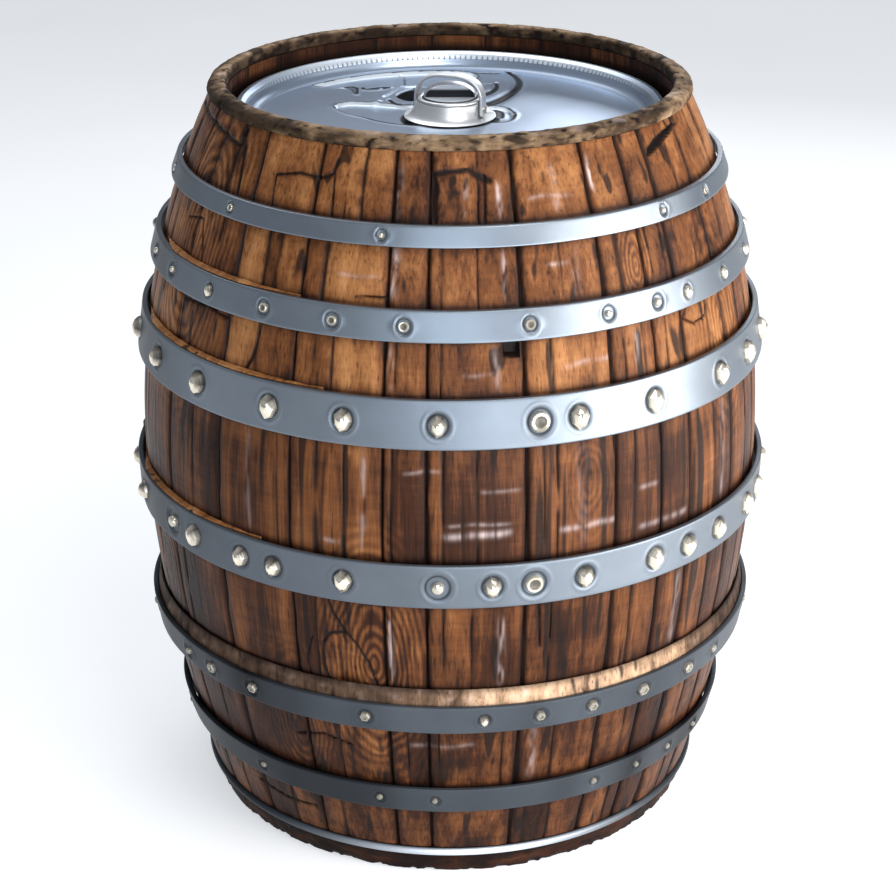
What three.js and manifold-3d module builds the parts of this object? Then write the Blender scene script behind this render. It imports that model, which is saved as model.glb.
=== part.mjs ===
// A wooden beer keg: a coopered barrel built round a stainless vessel, with a stamped steel lid,
// a sprung tapping valve and a swinging bail.
// Millimetres, +Z up. The origin is the centre of the foot, on the surface the keg stands on.
// Angles are in degrees round the axis, from the front (-Y) towards the right (+X).
import * as THREE from "three";
import { mergeVertices } from "three/addons/utils/BufferGeometryUtils.js";
import Module from "manifold-3d";

const wasm = await Module();
wasm.setup();

// ---------------------------------------------------------------- driving dimensions

const KEG_HEIGHT = 720;
const FIT_GAP = 0.3; // between pieces that touch
const RING_SEGMENTS = 32; // flats round a hoop, ring or head

// Stave barrel
const BELLY_RADIUS = 301; // outside of the staves at their widest
const BELLY_HEIGHT = 368;
const BELLY_CURVE = 5.6; // taper for each (100 mm away from the belly) squared
const BELLY_SKEW = 0.3; // more taper above the belly, less below it, by the cube
const STAVE_THICKNESS = 25.5;
const STAVE_JOINTS = [
  -11.5, -4, 13, 29.5, 39.5, 47, 61, 75, 91, 107, 122, 138,
  154, 170, 185, 201, 217, 233, 249, 265, 282, 299.5, 315.5, 331.5,
];
const STAVE_STEP = 10; // widest flat on a stave, in degrees

// Chime rings: the wooden rings that cap the stave ends
const FOOT_RING = { top: 21, outer: 244, inner: 216 };
const RIM_RING = { bottom: 708, outer: 228, inner: 209, flatFrom: 211, flatTo: 219 };
const STAVE_SEAT = 210.2; // inside radius of the staves beside the lid, thinned from there up

// Hoops, from the top down. stand: how far the band's face stands off the staves.
const HOOP_THICKNESS = 5.5;
const STAVE_TO_HOOP = 0.8;
const HOOPS = [
  {
    low: 634, high: 652, stand: 8, lap: 172, studRadius: 4, studHeight: 2.5, rearStuds: 7,
    studs: [-48, -13, 46, 62],
  },
  {
    low: 557, high: 584, stand: 8, lap: 185, studRadius: 5, studHeight: 3, rearStuds: 11,
    studs: [-75, -63, -49, -35, -21, -8, 14, 29, 40, 48, 61, 76],
  },
  {
    low: 465, high: 509, stand: 8, lap: 168, studRadius: 8, studHeight: 6, rearStuds: 9,
    studs: [-80, -64, -49, -32, -18, -2, 15, 22, 37, 55, 67, 80],
  },
  {
    low: 315, high: 357, stand: 8, lap: 258, studRadius: 8, studHeight: 6.5, rearStuds: 9,
    studs: [-88, -72, -57, -50, -38, -31, -18, -2, 7, 14, 23, 37, 45, 54, 66, 74, 88],
  },
  {
    low: 182, high: 211, stand: 13, lap: 190, studRadius: 5.5, studHeight: 3.5, rearStuds: 10,
    studs: [-57, -49, -38, -15, 6, 16, 26, 37, 49, 58],
  },
  {
    low: 82, high: 110, stand: 7, lap: 176, studRadius: 4.5, studHeight: 2.5, rearStuds: 7,
    studs: [-41, -14, -3, 30, 41, 51, 62],
  },
];
const STUD_SIDES = 6;
const LAP_SPAN = 13; // degrees covered by the overlap where a hoop's ends are riveted
const LAP_THICKNESS = 3;
const PACKING_RING = { low: 184, high: 226, hoop: 4 }; // wooden wedge ring under the fifth hoop
const BASE_WIRE = { radius: 248, height: 25.2, wire: 3.8 };

// Bottom head, in the croze groove of the staves
const HEAD = {
  height: 48, radius: 232.5, thickness: 18, boards: 5,
  tongue: 6, reach: 7, // the tongue's thickness, and how far it stands out of the bevel
  bevel: 18, // width of the bevelled edge, tongue included
};
const CROZE_DEPTH = 1.5; // groove floor beyond the head's edge

// Steel vessel and lid
const VESSEL_RADIUS = 198;
const VESSEL_WALL = 2;
const VESSEL_BOTTOM = 58;
const LID_PANEL = 679; // height of the flat panel
const LID_THICKNESS = 4;
const BEAD_TOP = 691;
const BEAD_RADIUS = 203;
const SEAL_HEIGHT = 12;
const POCKET_DEPTH = 2;

// Tapping valve, on the axis
const NECK_BASE = 43.5;
const NECK_LIP = 29.6;
const NECK_TOP = 698.2;
const NECK_BORE = 26;
const SPIGOT_RADIUS = 35.6; // passes through the lid
const PLUNGER_RADIUS = 25;
const PLUNGER_TOP = 712;
const HOOD_FRONT = -8; // the raised hood on the plunger fills the part of its disc behind this
const STEM_RADIUS = 5;
const SPRING = { radius: 18, wire: 1.1, turns: 5, low: 671.8, high: 690.4 };
const VALVE_SIDES = 20;

// Bail
const BAIL_TURN = -20; // the bail's axis is turned from the X axis by this many degrees
const BAIL_PIVOT = { reach: 32.5, height: 687.5 };
const BAIL_TOP = 718.4;
const BAIL_STRAP = { width: 13, thickness: 3 };
const BAIL_GAP = 0.4; // between a leg and the flat of the neck that it swings beside
const PIN_RADIUS = 2.4;

// ---------------------------------------------------------------- materials

const standard = (color, roughness, metalness) =>
  new THREE.MeshStandardMaterial({ color, roughness, metalness });
const OAK = standard(0x7a4a2c, 0.6, 0);
const RIM_WOOD = standard(0x8f7a58, 0.85, 0);
const RAW_WOOD = standard(0xb98f68, 0.8, 0);
const HOOP_STEEL = standard(0x77899e, 0.35, 1);
const LID_STEEL = standard(0x9fb0c6, 0.3, 1);
const BRIGHT_STEEL = standard(0xc9d0d8, 0.12, 1);
const RUBBER = standard(0x15161a, 0.7, 0);

// ---------------------------------------------------------------- helpers

const radians = THREE.MathUtils.degToRad;

// Outside radius of the staves at a height.
function staveRadius(height) {
  const offset = (height - BELLY_HEIGHT) / 100;
  return BELLY_RADIUS - BELLY_CURVE * offset ** 2 - BELLY_SKEW * offset ** 3;
}

// A ring's vertex radius whose flats stay outside a circle.
const clearOf = (radius) => radius / Math.cos(Math.PI / RING_SEGMENTS);

// A geometry as a manifold solid, with its faces pointing out.
function solidOf(geometry) {
  const bare = geometry.clone();
  bare.deleteAttribute("normal");
  bare.deleteAttribute("uv");
  const merged = mergeVertices(bare, 1e-4);
  const corners = merged.attributes.position.array;
  const faces = [];
  const order = merged.index.array;
  for (let i = 0; i < order.length; i += 3) {
    const [a, b, c] = [order[i], order[i + 1], order[i + 2]];
    if (a !== b && b !== c && c !== a) faces.push(a, b, c);
  }
  if (signedVolume(corners, faces) < 0) faces.reverse();
  return new wasm.Manifold(
    new wasm.Mesh({
      numProp: 3,
      vertProperties: corners,
      triVerts: new Uint32Array(faces),
    }),
  );
}

function signedVolume(corners, faces) {
  const corner = (index) => new THREE.Vector3().fromArray(corners, 3 * index);
  let total = 0;
  for (let i = 0; i < faces.length; i += 3) {
    total += corner(faces[i]).dot(corner(faces[i + 1]).cross(corner(faces[i + 2])));
  }
  return total;
}

function geometryOf(solid) {
  const mesh = solid.getMesh();
  const positions = new THREE.BufferAttribute(new Float32Array(mesh.vertProperties), 3);
  const indexed = new THREE.BufferGeometry().setAttribute("position", positions);
  indexed.setIndex(new THREE.BufferAttribute(new Uint32Array(mesh.triVerts), 1));
  const flat = indexed.toNonIndexed();
  flat.computeVertexNormals();
  return flat;
}

const outward = (geometry) => geometryOf(solidOf(geometry));

// A closed outline of [radius, height] points turned round the Z axis.
function turned(outline, segments = RING_SEGMENTS) {
  const points = outline.map(([radius, height]) => new THREE.Vector2(radius, height));
  const onAxis = points[0].x === 0 && points.at(-1).x === 0;
  if (!onAxis) points.push(points[0].clone());
  return new THREE.LatheGeometry(points, segments).rotateX(Math.PI / 2);
}

// The same outline turned only from one angle to another.
function sector(outline, from, to, step) {
  const shape = new THREE.Shape(outline.map(([x, y]) => new THREE.Vector2(x, y)));
  const span = radians(to - from);
  const steps = Math.ceil((to - from) / step);
  const bar = new THREE.ExtrudeGeometry(shape, { depth: span, steps, bevelEnabled: false });
  const at = bar.attributes.position;
  for (let i = 0; i < at.count; i++) {
    const radius = at.getX(i);
    const angle = radians(from) + at.getZ(i);
    at.setXYZ(i, radius * Math.sin(angle), -radius * Math.cos(angle), at.getY(i));
  }
  return bar;
}

// A flat outline of [x, y] points, smoothed, between two heights.
function plug(outline, low, high, steps) {
  const knots = outline.map(([x, y]) => new THREE.Vector3(x, y, 0));
  const smooth = new THREE.CatmullRomCurve3(knots, true).getPoints(steps).slice(0, -1);
  const shape = new THREE.Shape(smooth.map((p) => new THREE.Vector2(p.x, p.y)));
  return new THREE.ExtrudeGeometry(shape, { depth: high - low, bevelEnabled: false })
    .translate(0, 0, low);
}

const box = (x, y, z, cx, cy, cz) => new THREE.BoxGeometry(x, y, z).translate(cx, cy, cz);

const keg = new THREE.Group();

function add(name, geometry, material, parent = keg) {
  const mesh = new THREE.Mesh(geometry, material);
  mesh.name = name;
  parent.add(mesh);
  return mesh;
}

// ---------------------------------------------------------------- staves

// Outline of a stave cut along its length, as [radius, height].
function staveOutline() {
  const foot = FOOT_RING.top + FIT_GAP;
  const top = RIM_RING.bottom - FIT_GAP;
  const rebate = BASE_WIRE.radius - BASE_WIRE.wire - 2;
  const outside = [40, 110, 196, 290, 380, 470, 570, 643, top];
  const thinned = [[RIM_RING.inner - 0.2, top], [STAVE_SEAT, LID_PANEL + 7]];
  const grooveLow = HEAD.height - HEAD.tongue / 2 - FIT_GAP;
  const grooveHigh = HEAD.height + HEAD.tongue / 2 + FIT_GAP;
  const grooveFloor = HEAD.radius + CROZE_DEPTH;
  const inside = [610, 440, 280, 140, grooveHigh];
  const inner = (height) => staveRadius(height) - STAVE_THICKNESS;
  return [
    [rebate, foot],
    [rebate, BASE_WIRE.height + BASE_WIRE.wire + 1],
    ...outside.map((height) => [staveRadius(height), height]),
    ...thinned,
    ...inside.map((height) => [inner(height), height]),
    [grooveFloor, grooveHigh],
    [grooveFloor, grooveLow],
    [inner(grooveLow), grooveLow],
    [rebate - STAVE_THICKNESS, foot],
  ];
}

function addStaves() {
  const outline = staveOutline();
  const halfGap = THREE.MathUtils.radToDeg(FIT_GAP / 2 / RIM_RING.inner);
  STAVE_JOINTS.forEach((joint, index) => {
    const next = STAVE_JOINTS[index + 1] ?? STAVE_JOINTS[0] + 360;
    const stave = sector(outline, joint + halfGap, next - halfGap, STAVE_STEP);
    add("stave_" + String(index + 1).padStart(2, "0"), outward(stave), OAK);
  });
}

// ---------------------------------------------------------------- chime rings and base wire

function addChimeRings() {
  const { bottom, outer, inner, flatFrom, flatTo } = RIM_RING;
  const rim = [
    [inner, bottom],
    [outer - 1, bottom],
    [outer, bottom + 4],
    [outer - 3.5, KEG_HEIGHT - 2.5],
    [flatTo, KEG_HEIGHT],
    [flatFrom, KEG_HEIGHT],
    [inner, KEG_HEIGHT - 3],
  ];
  add("top_chime_ring", outward(turned(rim)), RIM_WOOD);

  const foot = [
    [FOOT_RING.inner, 0],
    [FOOT_RING.outer - 1, 0],
    [FOOT_RING.outer + 2, FOOT_RING.top - 4],
    [FOOT_RING.outer + 2, FOOT_RING.top],
    [FOOT_RING.inner, FOOT_RING.top],
  ];
  add("bottom_chime_ring", outward(turned(foot)), OAK);

  const section = [];
  for (let side = 0; side < 6; side++) {
    const turn = (side * Math.PI) / 3;
    const radius = BASE_WIRE.radius + BASE_WIRE.wire * Math.cos(turn);
    section.push([radius, BASE_WIRE.height + BASE_WIRE.wire * Math.sin(turn)]);
  }
  add("base_wire_ring", outward(turned(section)), HOOP_STEEL);
}

// ---------------------------------------------------------------- hoops

// The radius of a hoop's face at a height.
const hoopFace = (hoop, height) => staveRadius(height) + hoop.stand;

// Front studs where they are listed, and the rear ones evenly spaced between the last and first.
function studAngles(hoop) {
  const last = hoop.studs.at(-1);
  const rearSpan = hoop.studs[0] + 360 - last;
  const spacing = rearSpan / (hoop.rearStuds + 1);
  const rear = Array.from({ length: hoop.rearStuds }, (_, i) => last + spacing * (i + 1));
  return [...hoop.studs, ...rear];
}

function hoopStud(hoop, angle) {
  const height = (hoop.low + hoop.high) / 2;
  const buried = 3;
  const length = buried + hoop.studHeight;
  const centre = hoopFace(hoop, height) - buried + length / 2;
  return new THREE.CylinderGeometry(hoop.studRadius / 2, hoop.studRadius, length, STUD_SIDES)
    .rotateX(Math.PI)
    .translate(0, -centre, 0)
    .rotateZ(radians(angle))
    .translate(0, 0, height);
}

function hoopSolid(hoop) {
  const { low, high } = hoop;
  const edge = (height, inset) => hoopFace(hoop, height) - inset;
  const inner = (height) =>
    Math.max(clearOf(staveRadius(height) + STAVE_TO_HOOP), edge(height, HOOP_THICKNESS));
  const band = [
    [inner(low), low],
    [edge(low, 0), low],
    [edge(high, 0), high],
    [inner(high), high],
  ];
  const lap = [
    [edge(low, 3), low + 1],
    [edge(low, -LAP_THICKNESS), low + 1],
    [edge(high, -LAP_THICKNESS), high - 1],
    [edge(high, 3), high - 1],
  ];
  let solid = solidOf(turned(band));
  const lapPlate = sector(lap, hoop.lap - LAP_SPAN / 2, hoop.lap + LAP_SPAN / 2, LAP_SPAN / 2);
  solid = solid.add(solidOf(lapPlate));
  studAngles(hoop).forEach((angle) => {
    solid = solid.add(solidOf(hoopStud(hoop, angle)));
  });
  return solid;
}

function addHoops() {
  HOOPS.forEach((hoop, index) => {
    add("hoop_" + (index + 1), geometryOf(hoopSolid(hoop)), HOOP_STEEL);
  });
  const hoop = HOOPS[PACKING_RING.hoop];
  const inner = (height) => clearOf(staveRadius(height) + STAVE_TO_HOOP);
  const outer = (height) => hoopFace(hoop, height) - HOOP_THICKNESS - 1;
  const { low, high } = PACKING_RING;
  const wedge = [
    [inner(low), low],
    [outer(low), low],
    [outer(hoop.high), hoop.high + 1],
    [inner(high) + 1.5, high],
    [inner(high), high],
    [inner((low + high) / 2), (low + high) / 2],
  ];
  add("packing_ring", outward(turned(wedge)), RAW_WOOD);
}

// ---------------------------------------------------------------- bottom head

function addHead() {
  const { height, radius, thickness, boards, tongue, reach, bevel } = HEAD;
  const half = thickness / 2;
  const disc = solidOf(
    turned([
      [0, height - half],
      [radius - bevel, height - half],
      [radius - reach, height - tongue / 2],
      [radius, height - tongue / 2],
      [radius, height + tongue / 2],
      [radius - reach, height + tongue / 2],
      [radius - bevel, height + half],
      [0, height + half],
    ]),
  );
  const width = (2 * radius) / boards;
  for (let board = 0; board < boards; board++) {
    const centre = -radius + width * (board + 0.5);
    const blank = box(width - FIT_GAP, 2 * radius + 2, thickness + 2, centre, 0, height);
    add("head_board_" + (board + 1), geometryOf(disc.intersect(solidOf(blank))), OAK);
  }
}

// ---------------------------------------------------------------- vessel, cradle and seal

// Outside of the dished bottom, as [radius, height], rising from the axis.
const VESSEL_DISH = [
  [0, VESSEL_BOTTOM],
  [120, VESSEL_BOTTOM + 4],
  [175, VESSEL_BOTTOM + 16],
  [VESSEL_RADIUS, VESSEL_BOTTOM + 42],
];

function addVessel() {
  const top = LID_PANEL + 5;
  const wall = [
    ...VESSEL_DISH,
    [VESSEL_RADIUS, top],
    [VESSEL_RADIUS - VESSEL_WALL, top],
    [VESSEL_RADIUS - VESSEL_WALL, VESSEL_DISH[3][1] + 1],
    [VESSEL_DISH[2][0] - 1, VESSEL_DISH[2][1] + VESSEL_WALL],
    [VESSEL_DISH[1][0], VESSEL_DISH[1][1] + VESSEL_WALL],
    [0, VESSEL_BOTTOM + VESSEL_WALL],
  ];
  add("keg_vessel", outward(turned(wall)), LID_STEEL);

  const seat = HEAD.height + HEAD.thickness / 2 + FIT_GAP;
  const cradle = [
    [150, seat],
    [186, seat],
    [186, VESSEL_BOTTOM + 26],
    [176, VESSEL_BOTTOM + 15],
    [150, VESSEL_BOTTOM + 9.3],
  ];
  add("vessel_locating_ring", outward(turned(cradle)), RAW_WOOD);

  const sealTop = LID_PANEL + 7;
  const sealOuter = STAVE_SEAT - 1.3;
  const seal = [
    [BEAD_RADIUS + 0.6, sealTop - SEAL_HEIGHT],
    [sealOuter + 2.5, sealTop - SEAL_HEIGHT],
    [sealOuter, sealTop],
    [BEAD_RADIUS + 0.6, sealTop - 2],
  ];
  add("rim_seal", outward(turned(seal)), RUBBER);
}

// ---------------------------------------------------------------- lid

// Stamped recesses of the lid, as smooth closed outlines of [x, y] points.
const LEAF_RECESS = [
  [-132, 117], [-117, 132], [-96, 150], [-60, 166], [-20, 172],
  [14, 168], [26, 146], [8, 118], [-30, 112], [-90, 108],
];
const TONGUE_RECESS = [
  [-110, 37], [-97, 51], [-74, 50], [-40, 42], [0, 52],
  [48, 34], [61, 8], [52, -16], [10, -50], [-44, -46], [-82, -8],
];
const VENT_HOLE = [[-53, 76], [-45, 97], [-34, 103], [-33, 60], [-44, 58]];
const VENT_CENTRE = [-42, 79];

function addLid() {
  const under = LID_PANEL - LID_THICKNESS;
  const skirt = VESSEL_RADIUS + 1.3;
  const hole = SPIGOT_RADIUS + FIT_GAP + 0.4;
  const pressing = turned([
    [hole, under],
    [186, under],
    [191.5, LID_PANEL + 5.5],
    [196, LID_PANEL + 8],
    [skirt, LID_PANEL + 6],
    [skirt, LID_PANEL - 3],
    [BEAD_RADIUS, LID_PANEL - 3],
    [BEAD_RADIUS, LID_PANEL + 8.5],
    [199.5, BEAD_TOP - 0.8],
    [194.5, BEAD_TOP],
    [189.5, LID_PANEL + 7.5],
    [183, LID_PANEL],
    [hole, LID_PANEL],
  ]);
  let lid = solidOf(pressing);
  [LEAF_RECESS, TONGUE_RECESS].forEach((outline) => {
    const cutter = plug(outline, LID_PANEL - POCKET_DEPTH, LID_PANEL + 1, 24);
    lid = lid.subtract(solidOf(cutter));
  });
  lid = lid.subtract(solidOf(plug(VENT_HOLE, under - 1, LID_PANEL + 1, 14)));
  add("keg_lid", geometryOf(lid), LID_STEEL);

  const fill = 0.86; // the rubber plug against the hole it closes
  const [cx, cy] = VENT_CENTRE;
  const body = VENT_HOLE.map(([x, y]) => [cx + (x - cx) * fill, cy + (y - cy) * fill]);
  add("relief_plug", outward(plug(body, under - 3, LID_PANEL - 0.8, 14)), RUBBER);
}

// ---------------------------------------------------------------- tapping valve

const bailGroup = new THREE.Group();
bailGroup.rotation.z = radians(BAIL_TURN);
keg.add(bailGroup);

// A cylinder along X between two places.
function rodAlongX(radius, from, to, height, sides) {
  return new THREE.CylinderGeometry(radius, radius, Math.abs(to - from), sides)
    .rotateZ(Math.PI / 2)
    .translate((from + to) / 2, 0, height);
}

function addNeck() {
  const shoulder = NECK_TOP - 30.2;
  const seat = LID_PANEL + FIT_GAP;
  const flange = seat + 1.2;
  let neck = solidOf(
    turned(
      [
        [22, shoulder - 8],
        [SPIGOT_RADIUS, shoulder - 8],
        [SPIGOT_RADIUS, seat],
        [NECK_BASE, seat],
        [NECK_BASE, flange],
        [39.3, seat + 3.6],
        [36, seat + 7.5],
        [32.6, seat + 13.7],
        [30.6, NECK_TOP - 2.2],
        [NECK_LIP, NECK_TOP],
        [NECK_BORE + 1, NECK_TOP],
        [NECK_BORE, NECK_TOP - 1.5],
        [NECK_BORE, shoulder],
        [22, shoulder],
      ],
      VALVE_SIDES,
    ),
  );
  const { reach, height } = BAIL_PIVOT;
  const flat = reach - BAIL_STRAP.thickness / 2 - BAIL_GAP;
  for (const side of [-1, 1]) {
    const room = box(20, 34, 30, side * (flat + 10), 0, flange + 0.1 + 15);
    const hole = rodAlongX(PIN_RADIUS + FIT_GAP, side * (NECK_BORE - 2), side * 40, height, 12);
    neck = neck.subtract(solidOf(room)).subtract(solidOf(hole));
  }
  add("valve_neck", geometryOf(neck), LID_STEEL, bailGroup);
}

function addValveInside() {
  const seat = NECK_TOP - 30.2 + FIT_GAP; // on the neck's inner shoulder
  const cage = [
    [15, seat + 2.2],
    [NECK_BORE - 0.5, seat + 2.2],
    [NECK_BORE - 0.5, seat],
    [21.6, seat],
    [21.6, seat - 36],
    [18, seat - 36],
    [18, seat - 19],
    [9, seat - 17],
    [9, seat - 13],
    [15, seat - 11],
  ];
  add("valve_body", outward(turned(cage, VALVE_SIDES)), LID_STEEL);

  const under = LID_PANEL - LID_THICKNESS;
  const bore = SPIGOT_RADIUS + 0.5;
  const gasket = [
    [bore, under - 3],
    [44, under - 3],
    [44, under - FIT_GAP],
    [bore, under - FIT_GAP],
  ];
  add("neck_gasket", outward(turned(gasket, VALVE_SIDES)), RUBBER);
  const nut = [
    [bore, under - 11],
    [46, under - 11],
    [46, under - 3 - FIT_GAP],
    [bore, under - 3 - FIT_GAP],
  ];
  add("neck_lock_nut", outward(turned(nut, VALVE_SIDES)), BRIGHT_STEEL);

  const tubeTop = seat - 36 - FIT_GAP;
  const tube = [
    [8.5, tubeTop],
    [21, tubeTop],
    [21, tubeTop - 4],
    [10, tubeTop - 4],
    [10, VESSEL_BOTTOM + 14],
    [8.5, VESSEL_BOTTOM + 14],
  ];
  add("dip_tube", outward(turned(tube, 12)), BRIGHT_STEEL);
}

// ---------------------------------------------------------------- plunger and its spring

class Helix extends THREE.Curve {
  getPoint(t, target = new THREE.Vector3()) {
    const angle = t * SPRING.turns * 2 * Math.PI;
    const height = THREE.MathUtils.lerp(SPRING.low, SPRING.high, t);
    return target.set(SPRING.radius * Math.sin(angle), -SPRING.radius * Math.cos(angle), height);
  }
}

function addPlunger() {
  const skirt = NECK_TOP - 6;
  const deck = NECK_TOP + 1;
  const disc = [[0, skirt], [PLUNGER_RADIUS, skirt], [PLUNGER_RADIUS, deck], [0, deck]];
  const hood = [[0, skirt + 1], [PLUNGER_RADIUS - 0.4, skirt + 1], [PLUNGER_RADIUS - 0.4, deck]];
  for (const turn of [28, 52, 72]) {
    const radius = PLUNGER_RADIUS * Math.cos(radians(turn));
    hood.push([radius, deck + (PLUNGER_TOP - deck) * Math.sin(radians(turn))]);
  }
  hood.push([0, PLUNGER_TOP]);
  const behind = box(80, 80, 80, 0, HOOD_FRONT + 40, skirt);
  const dome = solidOf(turned(hood, VALVE_SIDES)).intersect(solidOf(behind));
  const plunger = solidOf(turned(disc, VALVE_SIDES)).add(dome);
  add("plunger_dome", geometryOf(plunger), BRIGHT_STEEL);

  const valveSeat = NECK_TOP - 30.2 + FIT_GAP - 19;
  const stem = [
    [0, valveSeat - 5],
    [14, valveSeat - 5],
    [14, valveSeat - 2.8],
    [STEM_RADIUS, valveSeat - 2.8],
    [STEM_RADIUS, skirt - FIT_GAP],
    [0, skirt - FIT_GAP],
  ];
  add("plunger_stem", outward(turned(stem, 12)), BRIGHT_STEEL);
  const seal = [
    [STEM_RADIUS + 0.4, valveSeat - 2.5],
    [14, valveSeat - 2.5],
    [14, valveSeat - 0.5],
    [STEM_RADIUS + 0.4, valveSeat - 0.5],
  ];
  add("plunger_seal", outward(turned(seal, 12)), RUBBER);

  const corners = [0, 1, 2, 3, 4].map((i) => {
    const turn = (i * 2 * Math.PI) / 5;
    return new THREE.Vector2(SPRING.wire * Math.cos(turn), SPRING.wire * Math.sin(turn));
  });
  const coil = new THREE.ExtrudeGeometry(new THREE.Shape(corners), {
    steps: 50,
    bevelEnabled: false,
    extrudePath: new Helix(),
  });
  add("return_spring", outward(coil), BRIGHT_STEEL);
}

// ---------------------------------------------------------------- bail and its pins

// The bail's pivot discs and pins are on its axis; each leg stands straight up beside the neck.
function addBail() {
  const { reach, height } = BAIL_PIVOT;
  const { width, thickness } = BAIL_STRAP;
  const half = [
    [reach, height],
    [reach, height + 10],
    [reach - 1.3, 704],
    [reach - 5, 711],
    [reach - 12.5, BAIL_TOP - 2.4],
    [reach - 22.5, BAIL_TOP - 0.2],
  ];
  const left = half.map(([x, z]) => new THREE.Vector3(-x, 0, z));
  const right = half.map(([x, z]) => new THREE.Vector3(x, 0, z)).reverse();
  const arch = new THREE.CatmullRomCurve3([...left, new THREE.Vector3(0, 0, BAIL_TOP), ...right]);
  const steps = 32;
  const outline = [];
  for (const side of [1, -1]) {
    const edge = arch.getSpacedPoints(steps).map((point, index) => {
      const along = arch.getTangentAt(index / steps);
      const reachOut = (side * thickness) / 2;
      return new THREE.Vector2(point.x - along.z * reachOut, point.z + along.x * reachOut);
    });
    outline.push(...(side === 1 ? edge : edge.reverse()));
  }
  const strap = new THREE.ExtrudeGeometry(new THREE.Shape(outline), {
    depth: width,
    bevelEnabled: false,
  });
  strap.rotateX(Math.PI / 2).translate(0, width / 2, 0);
  let bail = solidOf(strap);
  for (const side of [-1, 1]) {
    const inner = side * (reach - thickness / 2);
    const outer = side * (reach + thickness / 2);
    const disc = rodAlongX(width / 2, inner, outer, height, 16);
    const eye = rodAlongX(PIN_RADIUS + 0.4, side * (reach - 6), side * (reach + 6), height, 12);
    bail = bail.add(solidOf(disc)).subtract(solidOf(eye));
    const headInner = outer + side * BAIL_GAP;
    const shank = rodAlongX(PIN_RADIUS, side * (NECK_BORE + 1.3), headInner + side, height, 12);
    const head = rodAlongX(4, headInner, headInner + side * 1.6, height, 12);
    const pin = solidOf(shank).add(solidOf(head));
    const name = side === 1 ? "bail_pin_right" : "bail_pin_left";
    add(name, geometryOf(pin), BRIGHT_STEEL, bailGroup);
  }
  add("bail_handle", geometryOf(bail), BRIGHT_STEEL, bailGroup);
}

addStaves();
addChimeRings();
addHoops();
addHead();
addVessel();
addLid();
addNeck();
addValveInside();
addPlunger();
addBail();

export default keg;
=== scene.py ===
"""Looks of the wooden beer keg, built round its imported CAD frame.

Shapes are worked out in millimetres and written to Blender in metres. Angles are in degrees round
the keg's axis, from the front (-Y) towards the right (+X), as in the CAD.
"""

import math

import bpy
import numpy as np
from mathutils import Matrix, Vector


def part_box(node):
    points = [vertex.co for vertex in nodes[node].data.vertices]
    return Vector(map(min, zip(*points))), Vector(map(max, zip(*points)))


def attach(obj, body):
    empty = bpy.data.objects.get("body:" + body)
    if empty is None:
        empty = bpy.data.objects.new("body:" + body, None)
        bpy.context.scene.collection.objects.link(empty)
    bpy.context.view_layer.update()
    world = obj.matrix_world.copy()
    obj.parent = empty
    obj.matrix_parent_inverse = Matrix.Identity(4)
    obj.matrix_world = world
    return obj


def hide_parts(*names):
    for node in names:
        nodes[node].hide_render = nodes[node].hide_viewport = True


MM = 0.001
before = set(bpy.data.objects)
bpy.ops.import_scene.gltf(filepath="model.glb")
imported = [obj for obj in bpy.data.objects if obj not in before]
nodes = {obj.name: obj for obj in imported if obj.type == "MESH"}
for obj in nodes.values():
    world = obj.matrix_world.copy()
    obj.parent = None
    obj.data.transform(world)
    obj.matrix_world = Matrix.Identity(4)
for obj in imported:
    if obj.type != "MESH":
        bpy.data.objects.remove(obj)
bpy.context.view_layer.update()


# ---------------------------------------------------------------- numbers


def lattice(ix, iy, iz, seed):
    """A repeatable number from 0 to 1 for each whole-numbered point."""
    mixed = (ix * 374761393 + iy * 668265263 + iz * 951274213 + seed * 1274126177) & 0xFFFFFFFF
    mixed = ((mixed ^ (mixed >> 13)) * 1274126177) & 0xFFFFFFFF
    mixed = ((mixed ^ (mixed >> 15)) * 1103515245) & 0xFFFFFFFF
    return ((mixed ^ (mixed >> 16)) & 0xFFFFFF) / 0xFFFFFF


def noise(x, y, z, seed):
    """Smooth noise from -1 to 1, with features one unit apart."""
    x, y, z = np.broadcast_arrays(x, y, z)
    cells = [np.floor(v).astype(np.int64) for v in (x, y, z)]
    parts = [v - c for v, c in zip((x, y, z), cells)]
    fades = [p * p * (3 - 2 * p) for p in parts]
    total = 0
    for corner in range(8):
        step = [(corner >> k) & 1 for k in range(3)]
        weight = 1
        for fade, s in zip(fades, step):
            weight = weight * (fade if s else 1 - fade)
        total = total + weight * lattice(*[c + s for c, s in zip(cells, step)], seed)
    return 2 * total - 1


def rough_noise(x, y, z, seed, octaves):
    """Noise with finer, weaker copies of itself added."""
    total = 0
    for octave in range(octaves):
        scale = 2**octave
        total = total + noise(x * scale, y * scale, z * scale, seed + octave) / scale
    return total / (2 - 2.0 ** (1 - octaves))


def grown(at, across, along, seed, octaves=1):
    """Noise at the places x, y, z, with features so many mm across the keg and up it."""
    x, y, z = at
    return rough_noise(x / across, y / across, z / along, seed, octaves)


def smooth(low, high, value):
    """0 below low, 1 above high, and a smooth rise between."""
    t = np.clip((value - low) / (high - low), 0, 1)
    return t * t * (3 - 2 * t)


def ridge(distance, width):
    """1 at no distance, falling away smoothly on both sides."""
    return np.exp(-((distance / width) ** 2))


def turn(angle):
    """An angle brought to between -180 and 180 degrees."""
    return (angle + 180) % 360 - 180


def around(radius, angle, height):
    """Points on a circle round the axis, as an array of x, y, z."""
    radius, angle, height = np.broadcast_arrays(radius, np.radians(angle), height)
    return np.stack([radius * np.sin(angle), -radius * np.cos(angle), height], axis=-1)


def spread(radius, angle, height):
    """The same points, as arrays of x, of y and of z."""
    return np.moveaxis(around(radius, angle, height), -1, 0)


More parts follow.
